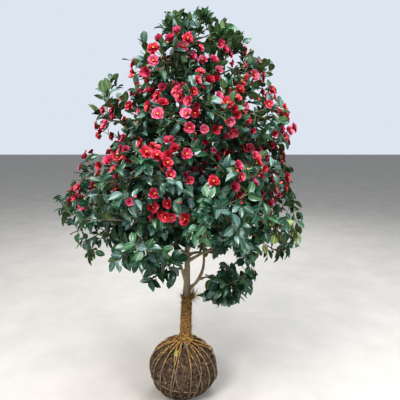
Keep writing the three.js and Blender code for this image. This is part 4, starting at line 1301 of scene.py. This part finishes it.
# How much a bough swells where it leaves its parent, and over what length
COLLAR_SWELL, COLLAR_LENGTH = 0.45, 0.035
# The boughs that are fused with the trunk; the trunk is stouter than its solid up to these heights
LOW = ["waist_1", "skirt_5", "low_right", "low_left"]
STOUT_HEIGHTS, STOUT = [0.75, 0.95], [1.12, 1.0]
SPOT_STEP, TRUNK_STEPS, FUSED_SIDES, UPPER_SIDES, FUSED_VOXEL = 0.012, 110, 20, 12, 0.0025
# The unevenness of the bark: how deep, how fine, how it stretches along the limbs, and its seed
TRUNK_RELIEF = [(0.0009, 60, (1, 1, 0.3), 0.0), (0.0011, 14, (1, 1, 0.6), 9.0)]
UPPER_RELIEF = [(0.0006, 60, (1, 1, 0.5), 0.0)]


def limb_spots():
    heights = np.arange(TRUNK["foot"], TRUNK["tip"], SPOT_STEP)
    spots, radii = [trunk_centre(z) for z in heights], [trunk_radius(z) for z in heights]
    for bough in boughs.values():
        spots += list(bough["points"])
        radii += list(bough["radii"])
    return np.array(spots), np.array(radii)


def collared(bough):
    """A bough's line, and its radii with the swelling where it leaves its parent."""
    swell = 1 + COLLAR_SWELL * np.exp(-(run_of(bough["points"]) / COLLAR_LENGTH) ** 2)
    return bough["points"], bough["radii"] * swell


def limb_object(name, limbs, sides):
    vertices, faces, _ = joined([(*tube(points, radii, sides), 0) for points, radii in limbs])
    return shown(mesh_object(name, vertices, faces))


def fused(name, limbs):
    """Limbs grown into one skin."""
    obj = limb_object(name, limbs, FUSED_SIDES)
    remesh = obj.modifiers.new("fuse", "REMESH")
    remesh.mode, remesh.voxel_size, remesh.use_smooth_shade = "VOXEL", FUSED_VOXEL, True
    soften = obj.modifiers.new("soften", "SMOOTH")
    soften.factor, soften.iterations = 0.5, 4
    made = evaluated(name, obj)
    made.data.shade_smooth()
    return made


def make_limbs():
    heights = np.linspace(TRUNK["foot"], TRUNK["tip"], TRUNK_STEPS)
    stout = np.interp(heights, STOUT_HEIGHTS, STOUT)
    trunk = (np.array([trunk_centre(z) for z in heights]), stout * [trunk_radius(z) for z in heights])
    skin = fused("trunk_and_forks", [trunk] + [collared(boughs[name]) for name in LOW])
    relief(skin, *TRUNK_RELIEF)
    place(skin, "bark", "trunk", *[f"bough_{name}" for name in LOW], material=BARK)
    upper = [name for name in boughs if name not in LOW]
    rest = limb_object("upper_boughs", [collared(boughs[name]) for name in upper], UPPER_SIDES)
    relief(rest, *UPPER_RELIEF)
    place(rest, "bark", *[f"bough_{name}" for name in upper], material=BARK)


# The root ball, its ropes and the wrap. First the unevenness of its soil, as that of the bark.
BALL_RELIEF = [(0.006, 15, (1, 1, 1), 3.0), (0.008, 34, (1, 1, 1), 5.0), (0.005, 80, (1, 1, 1), 7.0)]
BALL_SIDES, BALL_RINGS = 300, 150


def make_ball():
    form, turns = [], [2 * math.pi * i / BALL_SIDES for i in range(BALL_SIDES)]
    for j in range(1, BALL_RINGS):
        height = BALL["waist"] * (1 - math.cos(j / BALL_RINGS * math.pi))
        form.append([ball_radius(height, a) * outward(a) + UP * height for a in turns])
    ball = shown(mesh_object("soil_ball", *round_form((0, 0, 0), form, (0, 0, BALL["height"]))))
    relief(ball, *BALL_RELIEF)
    for vertex in ball.data.vertices:
        vertex.co.z = max(vertex.co.z, 0.0)
    place(ball, "soil", "root_ball", material=SOIL)


# Where a rope stands most proud of the ball, as a share of its length, and over what share
PROUD_AT, PROUD_OVER = 0.25, 0.12
# Ropes that the solids leave out: where each starts round the trunk, in degrees, how far it drifts, how
# low it ends, and how far it stands proud of the ball's shoulder.
MORE_ROPES = [(-118, 0.5, 2.55, 0), (-97, -0.35, 2.65, 0), (-70, 0.3, 2.6, 0), (-48, -0.45, 2.5, 0),
              (-12, 0.1, 2.5, 0.014), (-152, -0.3, 2.6, 0), (60, 0.4, 2.6, 0), (110, -0.4, 2.5, 0),
              (170, 0.35, 2.6, 0)]
MORE_BOW, MORE_STAND = 0.08, ROPE["radius"] - 0.0005
# The rope that stands off the ball's right shoulder: how far out it is and how high, from the trunk down
PROUD_LOOP = [(0.036, 0.322), (0.08, 0.308), (0.13, 0.288), (0.163, 0.272), (0.171, 0.258), (0.17, 0.235),
              (0.183, 0.195), (0.194, 0.15), (0.2, 0.118), (0.192, 0.09), (0.165, 0.055), (0.13, 0.028)]
# Its direction in degrees, how far it swings to the front for each metre down, and below which height
LOOP_TURN, LOOP_SWING, LOOP_SWING_BELOW = -4, 60, 0.2
# The rings of rope round the trunk's foot: how high in the collar, and how far out and tilted
COLLAR_RINGS, COLLAR_RING_RADIUS = ((0.7, 0.003), (1.1, 0.001), (1.5, -0.001)), 0.039
# The rope round the ball: from where to where, in degrees, its height and how it wavers
AROUND, AROUND_HEIGHT, AROUND_WAVE, AROUND_WAVES, AROUND_SHIFT = (-172, -62), 0.105, 0.018, 2.2, 0.4
LINE_STEPS, RING_STEPS = 90, 60
# How far a strand runs in one turn of its rope, and the distance between the rope's sections
ROPE_LAY, ROPE_SPACING, WRAP_LAY, WRAP_SPACING = 0.03, 0.003, 0.02, 0.0026
# The wrap's pitch in rope radii, its steps in a turn, how unevenly it lies and how fast that changes, and
# how far it stands off its solid's own radius at its foot and head
WRAP_PITCH, WRAP_STEPS, WRAP_UNEVEN, WRAP_CHANGES = 2.4, 30, 0.004, (0.45, 0.6)
WRAP_FOOT_OFF, WRAP_HEAD_OFF = 0.003, 0.001


def strand_line(index):
    draw = seeded(ROPE["seed"] + index)
    start = 2 * math.pi * (index + 0.5 * draw()) / ROPE["strands"]
    drift, bow = ROPE["drift"] * (2 * draw() - 1), ROPE["bow"] * (2 * draw() - 1)
    return ball_line(start, drift, bow, ROPE["radius"] + ROPE["stand"], ROPE["reach"])


def ball_line(start, drift, bow, stand, last, proud=0):
    """A rope's line from the trunk's foot over the ball's shoulder and down to its foot."""
    head_radius, head = ROPE["collar_radius"] - ROPE["head_in"], BALL["height"] + ROPE["head_up"]
    knots = [outward(start) * head_radius + UP * head]
    for share in (i / ROPE["knots"] for i in range(ROPE["knots"] + 1)):
        turn = mix(ROPE["start"], last, share)
        height = BALL["waist"] + (BALL["height"] - BALL["waist"]) * math.cos(turn)
        azimuth = start + drift * share + bow * math.sin(math.pi * share)
        off = stand + proud * math.exp(-((share - PROUD_AT) / PROUD_OVER) ** 2)
        radius = ball_radius(height, azimuth) + off * math.sin(max(turn, 3 * ROPE["start"]))
        knots.append(outward(azimuth) * radius + UP * (height + off * math.cos(turn)))
    return smooth_line(knots, LINE_STEPS)


def make_ropes(tree):
    lines = [strand_line(i) for i in range(ROPE["strands"])]
    for azimuth, drift, last, proud in MORE_ROPES:
        lines.append(ball_line(math.radians(azimuth), drift, MORE_BOW, MORE_STAND, last, proud))
    swung = [LOOP_TURN - LOOP_SWING * max(0, LOOP_SWING_BELOW - up) for _, up in PROUD_LOOP]
    lines.append(smooth_line([outward(math.radians(turn)) * out + UP * up
                              for turn, (out, up) in zip(swung, PROUD_LOOP)], LINE_STEPS))
    for share, tilt in COLLAR_RINGS:
        centre = trunk_centre(BALL["height"] + share * ROPE["collar_height"])
        lines.append(np.array([centre + outward(a) * (COLLAR_RING_RADIUS + tilt) + UP * tilt * math.cos(a)
                               for a in np.linspace(0, 2 * math.pi, RING_STEPS)]))
    around = []
    for a in np.linspace(*np.radians(AROUND), RING_STEPS):
        height = AROUND_HEIGHT + AROUND_WAVE * math.sin(AROUND_WAVES * a + AROUND_SHIFT)
        around.append(outward(a) * (ball_radius(height, a) + ROPE["stand"]) + UP * height)
    lines.append(np.array(around))
    place(grown("ball_rope_net", lines_mesh(lines), tree, Radius=ROPE["radius"], Lay=ROPE_LAY,
                Spacing=ROPE_SPACING), "straw", "ball_ropes")
    return lines


def make_wrap(tree):
    """The rope wound on the lower trunk, its turns lying unevenly."""
    count = WRAP_STEPS * round((WRAP["head"] - WRAP["foot"]) / (WRAP_PITCH * WRAP["rope"]))
    points = []
    for i in range(count + 1):
        share, turn = i / count, 2 * math.pi * i / WRAP_STEPS
        uneven = [noise.noise(Vector((rate * turn, apart, 0))) for rate, apart in zip(WRAP_CHANGES, (0, 9))]
        height = mix(WRAP["foot"] + WRAP["rope"], WRAP["head"] - WRAP["rope"], share)
        radius = mix(WRAP["foot_radius"] + WRAP_FOOT_OFF, WRAP["head_radius"] + WRAP_HEAD_OFF, share)
        radius -= WRAP["rope"]
        points.append(trunk_centre(height + WRAP_UNEVEN * uneven[0])
                      + outward(turn) * (radius + WRAP_UNEVEN * uneven[1]))
    line = np.array(points)
    place(grown("trunk_rope_wrap", lines_mesh([line]), tree, Radius=WRAP["rope"], Lay=WRAP_LAY,
                Spacing=WRAP_SPACING), "straw", "trunk_wrap")
    return line


# Loose straws: how many stand off the wrap and the ropes and how long they are, and none lower than this
LOOSE_STRAWS, LOWEST_STRAW = ((900, True, 0.02), (620, False, 0.015)), 0.035
# How they point along the rope and off it, how far out they start, in rope radii, and how they vary
LOOSE = dict(along=(-0.9, 0.9), off=(0.35, 1.0), out=0.6, lengths=(0.5, 1.4))
# The tufts at the wrap's head, right and left: how many straws, where they are from the trunk's middle,
# the ways they point, least and most in X, Y and Z, their length, and how far their starts are strewn
RIGHT_TUFT = dict(count=130, height=WRAP["head"], offset=(0.024, -0.016, -0.006), length=0.058,
                  spread=((-0.3, 1.0), (-0.9, 0.3), (-0.5, 1.1)), lengths=(0.45, 1.15), strewn=0.028)
LEFT_TUFT = dict(count=90, height=0.58, offset=(-0.022, -0.012, 0.0), length=0.028,
                 spread=((-1.0, 0.1), (-0.8, 0.5), (-0.2, 0.9)), lengths=(0.4, 1.1), strewn=0.008)
STRAW_BENDS = (0.4, 1.0, -0.7)


def fibre_shape(name, bend):
    """A loose straw along +X: three-sided, bent, drawn out to a point."""
    points = [(0, 0, 0), (0.35, 0, 0.1 * bend), (0.7, 0.12 * bend, 0.3 * bend), (1, 0.2 * bend, 0.6 * bend)]
    vertices, faces = tube(np.array(points), [0.02, 0.018, 0.012, 0.004], 3)
    return mesh_object(name, vertices, faces, [0] * len(faces))


def make_fibres(lines, wrap):
    draw = seeded(SEEDS["straws"])
    rows = []

    def add_straw(start, direction, face, length):
        rows.append((start, turn_to(direction, face + 1e-3), length, int(draw() * len(STRAW_BENDS)), 0))

    for count, wound, length in LOOSE_STRAWS:
        for _ in range(count):
            line = wrap if wound else lines[int(draw() * len(lines))]
            share = draw()
            point, heading = point_on(line, share), heading_on(line, share)
            if point[2] < LOWEST_STRAW:
                continue
            off = turned(perpendicular(heading), heading, 2 * math.pi * draw())
            direction = unit(heading * mix(*LOOSE["along"], draw()) + off * mix(*LOOSE["off"], draw()))
            add_straw(point + off * ROPE["radius"] * LOOSE["out"], direction, off,
                      length * mix(*LOOSE["lengths"], draw()))
    for tuft, across in ((RIGHT_TUFT, True), (LEFT_TUFT, False)):
        centre = trunk_centre(tuft["height"]) + np.array(tuft["offset"])
        for _ in range(tuft["count"]):
            spread = np.array([mix(*span, draw()) for span in tuft["spread"]])
            strewn = np.array([draw(), draw(), draw()]) - 0.5 if across else (draw() - 0.5) * UP
            add_straw(centre + tuft["strewn"] * strewn, unit(spread + 1e-3), UP,
                      tuft["length"] * mix(*tuft["lengths"], draw()))
    straws = shape_set("straws", [fibre_shape(f"straw_{i}", bend) for i, bend in enumerate(STRAW_BENDS)],
                       [[STRAW_LOOSE]])
    set_out("loose_straw", rows, straws, "straw")


# Crumbs of soil all over the ball, and larger ones on its back left shoulder: how many, and how large
CRUMBS, CRUMB_SIZE, CRUMB_SIZES = 1500, 0.0038, (0.6, 1.6)
CRUMB_HEIGHTS, CRUMB_SUNK = (0.02, BALL["height"] - 0.004), 0.3
CLODS, CLOD_SIZE, CLOD_SIZES, CLOD_TURNS, CLOD_OUT = 46, 0.0075, (0.6, 1.2), (120, 215), (0.08, 0.15)
CLOD_SHAPES, CLOD_ROUGHNESS, CLOD_FLATNESS = 4, 0.35, 0.75


def clod_shape(name, seed):
    def moved(co):
        co = co * (1 + CLOD_ROUGHNESS * noise.noise(co * 1.7 + Vector((seed, 0, 0))))
        co.z *= CLOD_FLATNESS
        return co

    clod = sphere(name, 1, moved)
    write_layer(clod.data, "part", "INT", "FACE", [0] * len(clod.data.polygons))
    return clod


def shoulder_height(out, azimuth):
    """The height of the ball's upper side at a distance from its axis."""
    low, high = BALL["waist"], BALL["height"]
    for _ in range(24):
        middle = (low + high) / 2
        if ball_radius(middle, azimuth) > out:
            low = middle
        else:
            high = middle
    return low


def make_crumbs():
    draw = seeded(SEEDS["crumbs"])
    spots, sizes = [], []
    for _ in range(CRUMBS):
        azimuth, height = 2 * math.pi * draw(), mix(*CRUMB_HEIGHTS, draw())
        sizes.append(CRUMB_SIZE * mix(*CRUMB_SIZES, draw()) ** 2)
        out = ball_radius(height, azimuth) - CRUMB_SUNK * sizes[-1]
        spots.append(outward(azimuth) * out + UP * height)
    for _ in range(CLODS):
        azimuth, out = math.radians(mix(*CLOD_TURNS, draw())), mix(*CLOD_OUT, draw())
        sizes.append(CLOD_SIZE * mix(*CLOD_SIZES, draw()))
        height = shoulder_height(out, azimuth) + CRUMB_SUNK * sizes[-1]
        spots.append(outward(azimuth) * out + UP * height)
    turns = [turn_facing(unit(spot + 1e-3), 6 * draw()) for spot in spots]
    rows = [(*row, int(draw() * CLOD_SHAPES), 0) for row in zip(spots, turns, sizes)]
    clods = shape_set("clods", [clod_shape(f"clod_{i}", 3.0 * i) for i in range(CLOD_SHAPES)],
                      [[SOIL_CRUMB]])
    set_out("soil_crumbs", rows, clods, "soil")


# The knob of bark under the collar at the front, and its half-sizes
KNOB_PLACE, KNOB_SIZE, KNOB_RELIEF = (0.02, -0.062, 0.304), (0.015, 0.015, 0.021), (0.002, 60, (1, 1, 1), 0.0)
# The leaf that lies on the ball's shoulder at the front: its direction from the axis, how far out its
# ends are, how far it stands off, and its length
FALLEN_TURN, FALLEN_ENDS, FALLEN_LIFT, FALLEN_LENGTH = -111, (0.086, 0.128), 0.012, 0.056
FALLEN_SHAPE, FALLEN_ASIDE = (0.5, 0.3, 0.16, 0.2), 0.012


def make_root_knob():
    knob = shown(sphere("root_knob", 4, lambda co: [p + s * k for p, s, k in zip(KNOB_PLACE, KNOB_SIZE, co)]))
    relief(knob, KNOB_RELIEF)
    knob.data.shade_smooth()
    place(knob, "bark", material=BARK_OLD)


def make_fallen_leaf():
    leaf = shown(leaf_shape("fallen_leaf", *FALLEN_SHAPE))
    azimuth = math.radians(FALLEN_TURN)
    away = outward(azimuth)
    start, end = (away * out + UP * (shoulder_height(out, azimuth) + FALLEN_LIFT) for out in FALLEN_ENDS)
    x = unit(end - start + np.array([FALLEN_ASIDE, 0, 0]))
    y = unit(np.cross(unit(away + UP), x))
    axes = np.array([x, y, np.cross(x, y)]) * FALLEN_LENGTH
    for vertex in leaf.data.vertices:
        vertex.co = start + np.array(vertex.co) @ axes
    leaf.data.attributes.remove(leaf.data.attributes["part"])
    place(leaf, "foliage", material=LEAF_FALLEN)


# Foliage and blossom
def clear_view(rows, blooms):
    """The leaves that don't stand in front of a bloom."""
    roots, directions = np.array([r[0] for r in rows]), np.array([r[1] for r in rows])
    sizes = np.array([r[3] for r in rows])
    keep = np.ones(len(rows), bool)
    for share in VIEW_SHARES:
        spots = roots + directions * (sizes * share)[:, None]
        for centre, face, *_ in blooms:
            start = spots - centre
            ahead = start @ face
            aside = np.linalg.norm(start - ahead[:, None] * face, axis=1)
            keep &= ~((ahead > VIEW_AHEAD[0]) & (ahead < VIEW_AHEAD[1]) & (aside < VIEW_ASIDE))
    return [row for row, ok in zip(rows, keep) if ok]


def wood_piece(name, twigs, sides, tree):
    radii = [np.linspace(*t["radii"], len(t["points"])) for t in twigs]
    place(grown(name, lines_mesh([t["points"] for t in twigs], radii), tree, Sides=sides), "bark")


def small_shapes():
    """The sets of leaves, petals, stamens, calyxes and buds. Young tones have a warmer underside."""
    under, numbers = [LEAF_UNDER] * 3 + [LEAF_UNDER_YOUNG] * 2, range(len(OPENED))
    leaves = [leaf_shape(f"leaf_{i}", *form) for i, form in enumerate(LEAF_SHAPES)]
    petals = [bloom_shape(f"bloom_{i}", SEEDS["bloom_shapes"] + i, OPENED[i]) for i in numbers]
    stamens = [stamen_shape(f"stamens_{i}", SEEDS["stamen_shapes"] + i) for i in numbers]
    calyxes = [mesh_object(f"calyx_{i}", *joined([(*lathe(CALYX, 7), 0)])) for i in numbers]
    buds = [bud_shape(f"bud_{i}", *form) for i, form in enumerate(BUD_SHAPES)]
    return {
        "leaves": shape_set("leaf shapes", leaves, list(zip(LEAF_TOPS, under))),
        "petals": shape_set("bloom shapes", petals, [[finish] for finish in PETALS]),
        "stamens": shape_set("stamen shapes", stamens, [[FILAMENT, ANTHER]] * len(PETALS)),
        "calyxes": shape_set("calyx shapes", calyxes, [[SEPAL]] * len(PETALS)),
        "buds": shape_set("bud shapes", buds, [[SEPAL, BUD_TIP]]),
    }


def make_foliage():
    limbs = limb_spots()
    growths = [grow_mass(mass, masses, *limbs) for mass in masses]
    add_sprigs(growths)
    blooms, buds = bloom_places(growths, masses)
    shapes, bark, shoot = small_shapes(), twig_tree(BARK_YOUNG), twig_tree(SHOOT)
    for tier in [t["name"] for t in TIERS]:
        members = [g for g in growths if g["mass"]["tier"] == tier]
        rows = clear_view([row for g in members for row in leaf_places(g, masses)], blooms)
        rows = [(root, turn_to(direction, face), *rest) for root, direction, face, *rest in rows]
        set_out(f"{tier}_leaves", rows, shapes["leaves"], "foliage",
                *[f"foliage_{g['mass']['name']}" for g in members])
        coarse = [t for g in members for t in g["twigs"] if t["level"] == 0]
        fine = [t for g in members for t in g["twigs"] + g["stalks"] if t["level"] > 0]
        wood_piece(f"{tier}_twigs", [g["stem"] for g in members] + coarse, TWIG_SIDES, bark)
        wood_piece(f"{tier}_shoots", fine, SHOOT_SIDES, shoot)
        mine = [b for b in blooms if b[-1] == tier]
        opened = [b for b in mine if b[4] in OPEN_SHAPES]
        for kind, found, slot, size in (
                ("petals", mine, "blossom", BLOOM_RADIUS), ("stamens", opened, "stamens", BLOOM_RADIUS),
                ("calyxes", mine, "foliage", BLOOM_RADIUS),
                ("buds", [b for b in buds if b[-1] == tier], "blossom", BUD_LENGTH)):
            if found:
                rows = [(centre, turn_facing(face, roll), *rest[:-1]) for centre, face, roll, *rest in found]
                set_out(f"{tier}_{kind}", rows, shapes[kind], slot, size=size)


# Light, sky and floor: each light's place, what it shines at, its size, power and colour
LIGHTS = {
    "key": ((-2.0, -3.2, 4.2), (0, 0, 1.2), 2.0, 260, (1.0, 0.98, 0.95)),
    "fill": ((3.0, -2.4, 3.0), (0, 0, 1.1), 2.0, 120, (0.92, 0.96, 1.0)),
    "overhead": ((0.2, -0.9, 4.4), (0, 0, 1.2), 3.4, 150, (0.88, 0.93, 1.0)),
    "low front": ((0.6, -4.0, 1.1), (0, 0, 0.8), 2.6, 34, (0.94, 0.97, 1.0)),
    "rim": ((0.6, 3.4, 3.6), (0, 0, 1.3), 2.4, 120, (0.95, 0.97, 1.0)),
}
SKY_COLOUR, SKY_STRENGTH = (226, 233, 242), 0.7
FLOOR_COLOURS, FLOOR_REACH = ((150, 146, 140), (160, 155, 149)), 20


def add_surroundings():
    world = bpy.data.worlds.new("sky")
    bpy.context.scene.world = world
    world.use_nodes = True
    sky = world.node_tree.nodes["Background"].inputs
    sky["Color"].default_value = srgb(*SKY_COLOUR)
    sky["Strength"].default_value = SKY_STRENGTH
    for name, (spot, target, size, power, colour) in LIGHTS.items():
        light = bpy.data.lights.new(name, "AREA")
        light.shape, light.size, light.energy, light.color = "DISK", size, power, colour
        lamp = shown(bpy.data.objects.new(name, light))
        lamp.location = spot
        lamp.rotation_euler = (Vector(target) - Vector(spot)).to_track_quat("-Z", "Y").to_euler()
    corners = [(x * FLOOR_REACH, y * FLOOR_REACH, 0) for x, y in ((-1, -1), (1, -1), (1, 1), (-1, 1))]
    floor = shown(mesh_object("floor", corners, [(0, 1, 2, 3)], smooth=False))
    floor.data.materials.append(mottled("floor_pale", *FLOOR_COLOURS, (0.85, 0.9), 3))


make_limbs()
make_ball()
rope = rope_tree(STRAW)
make_fibres(make_ropes(rope), make_wrap(rope))
make_crumbs()
make_root_knob()
make_fallen_leaf()
make_foliage()
add_surroundings()
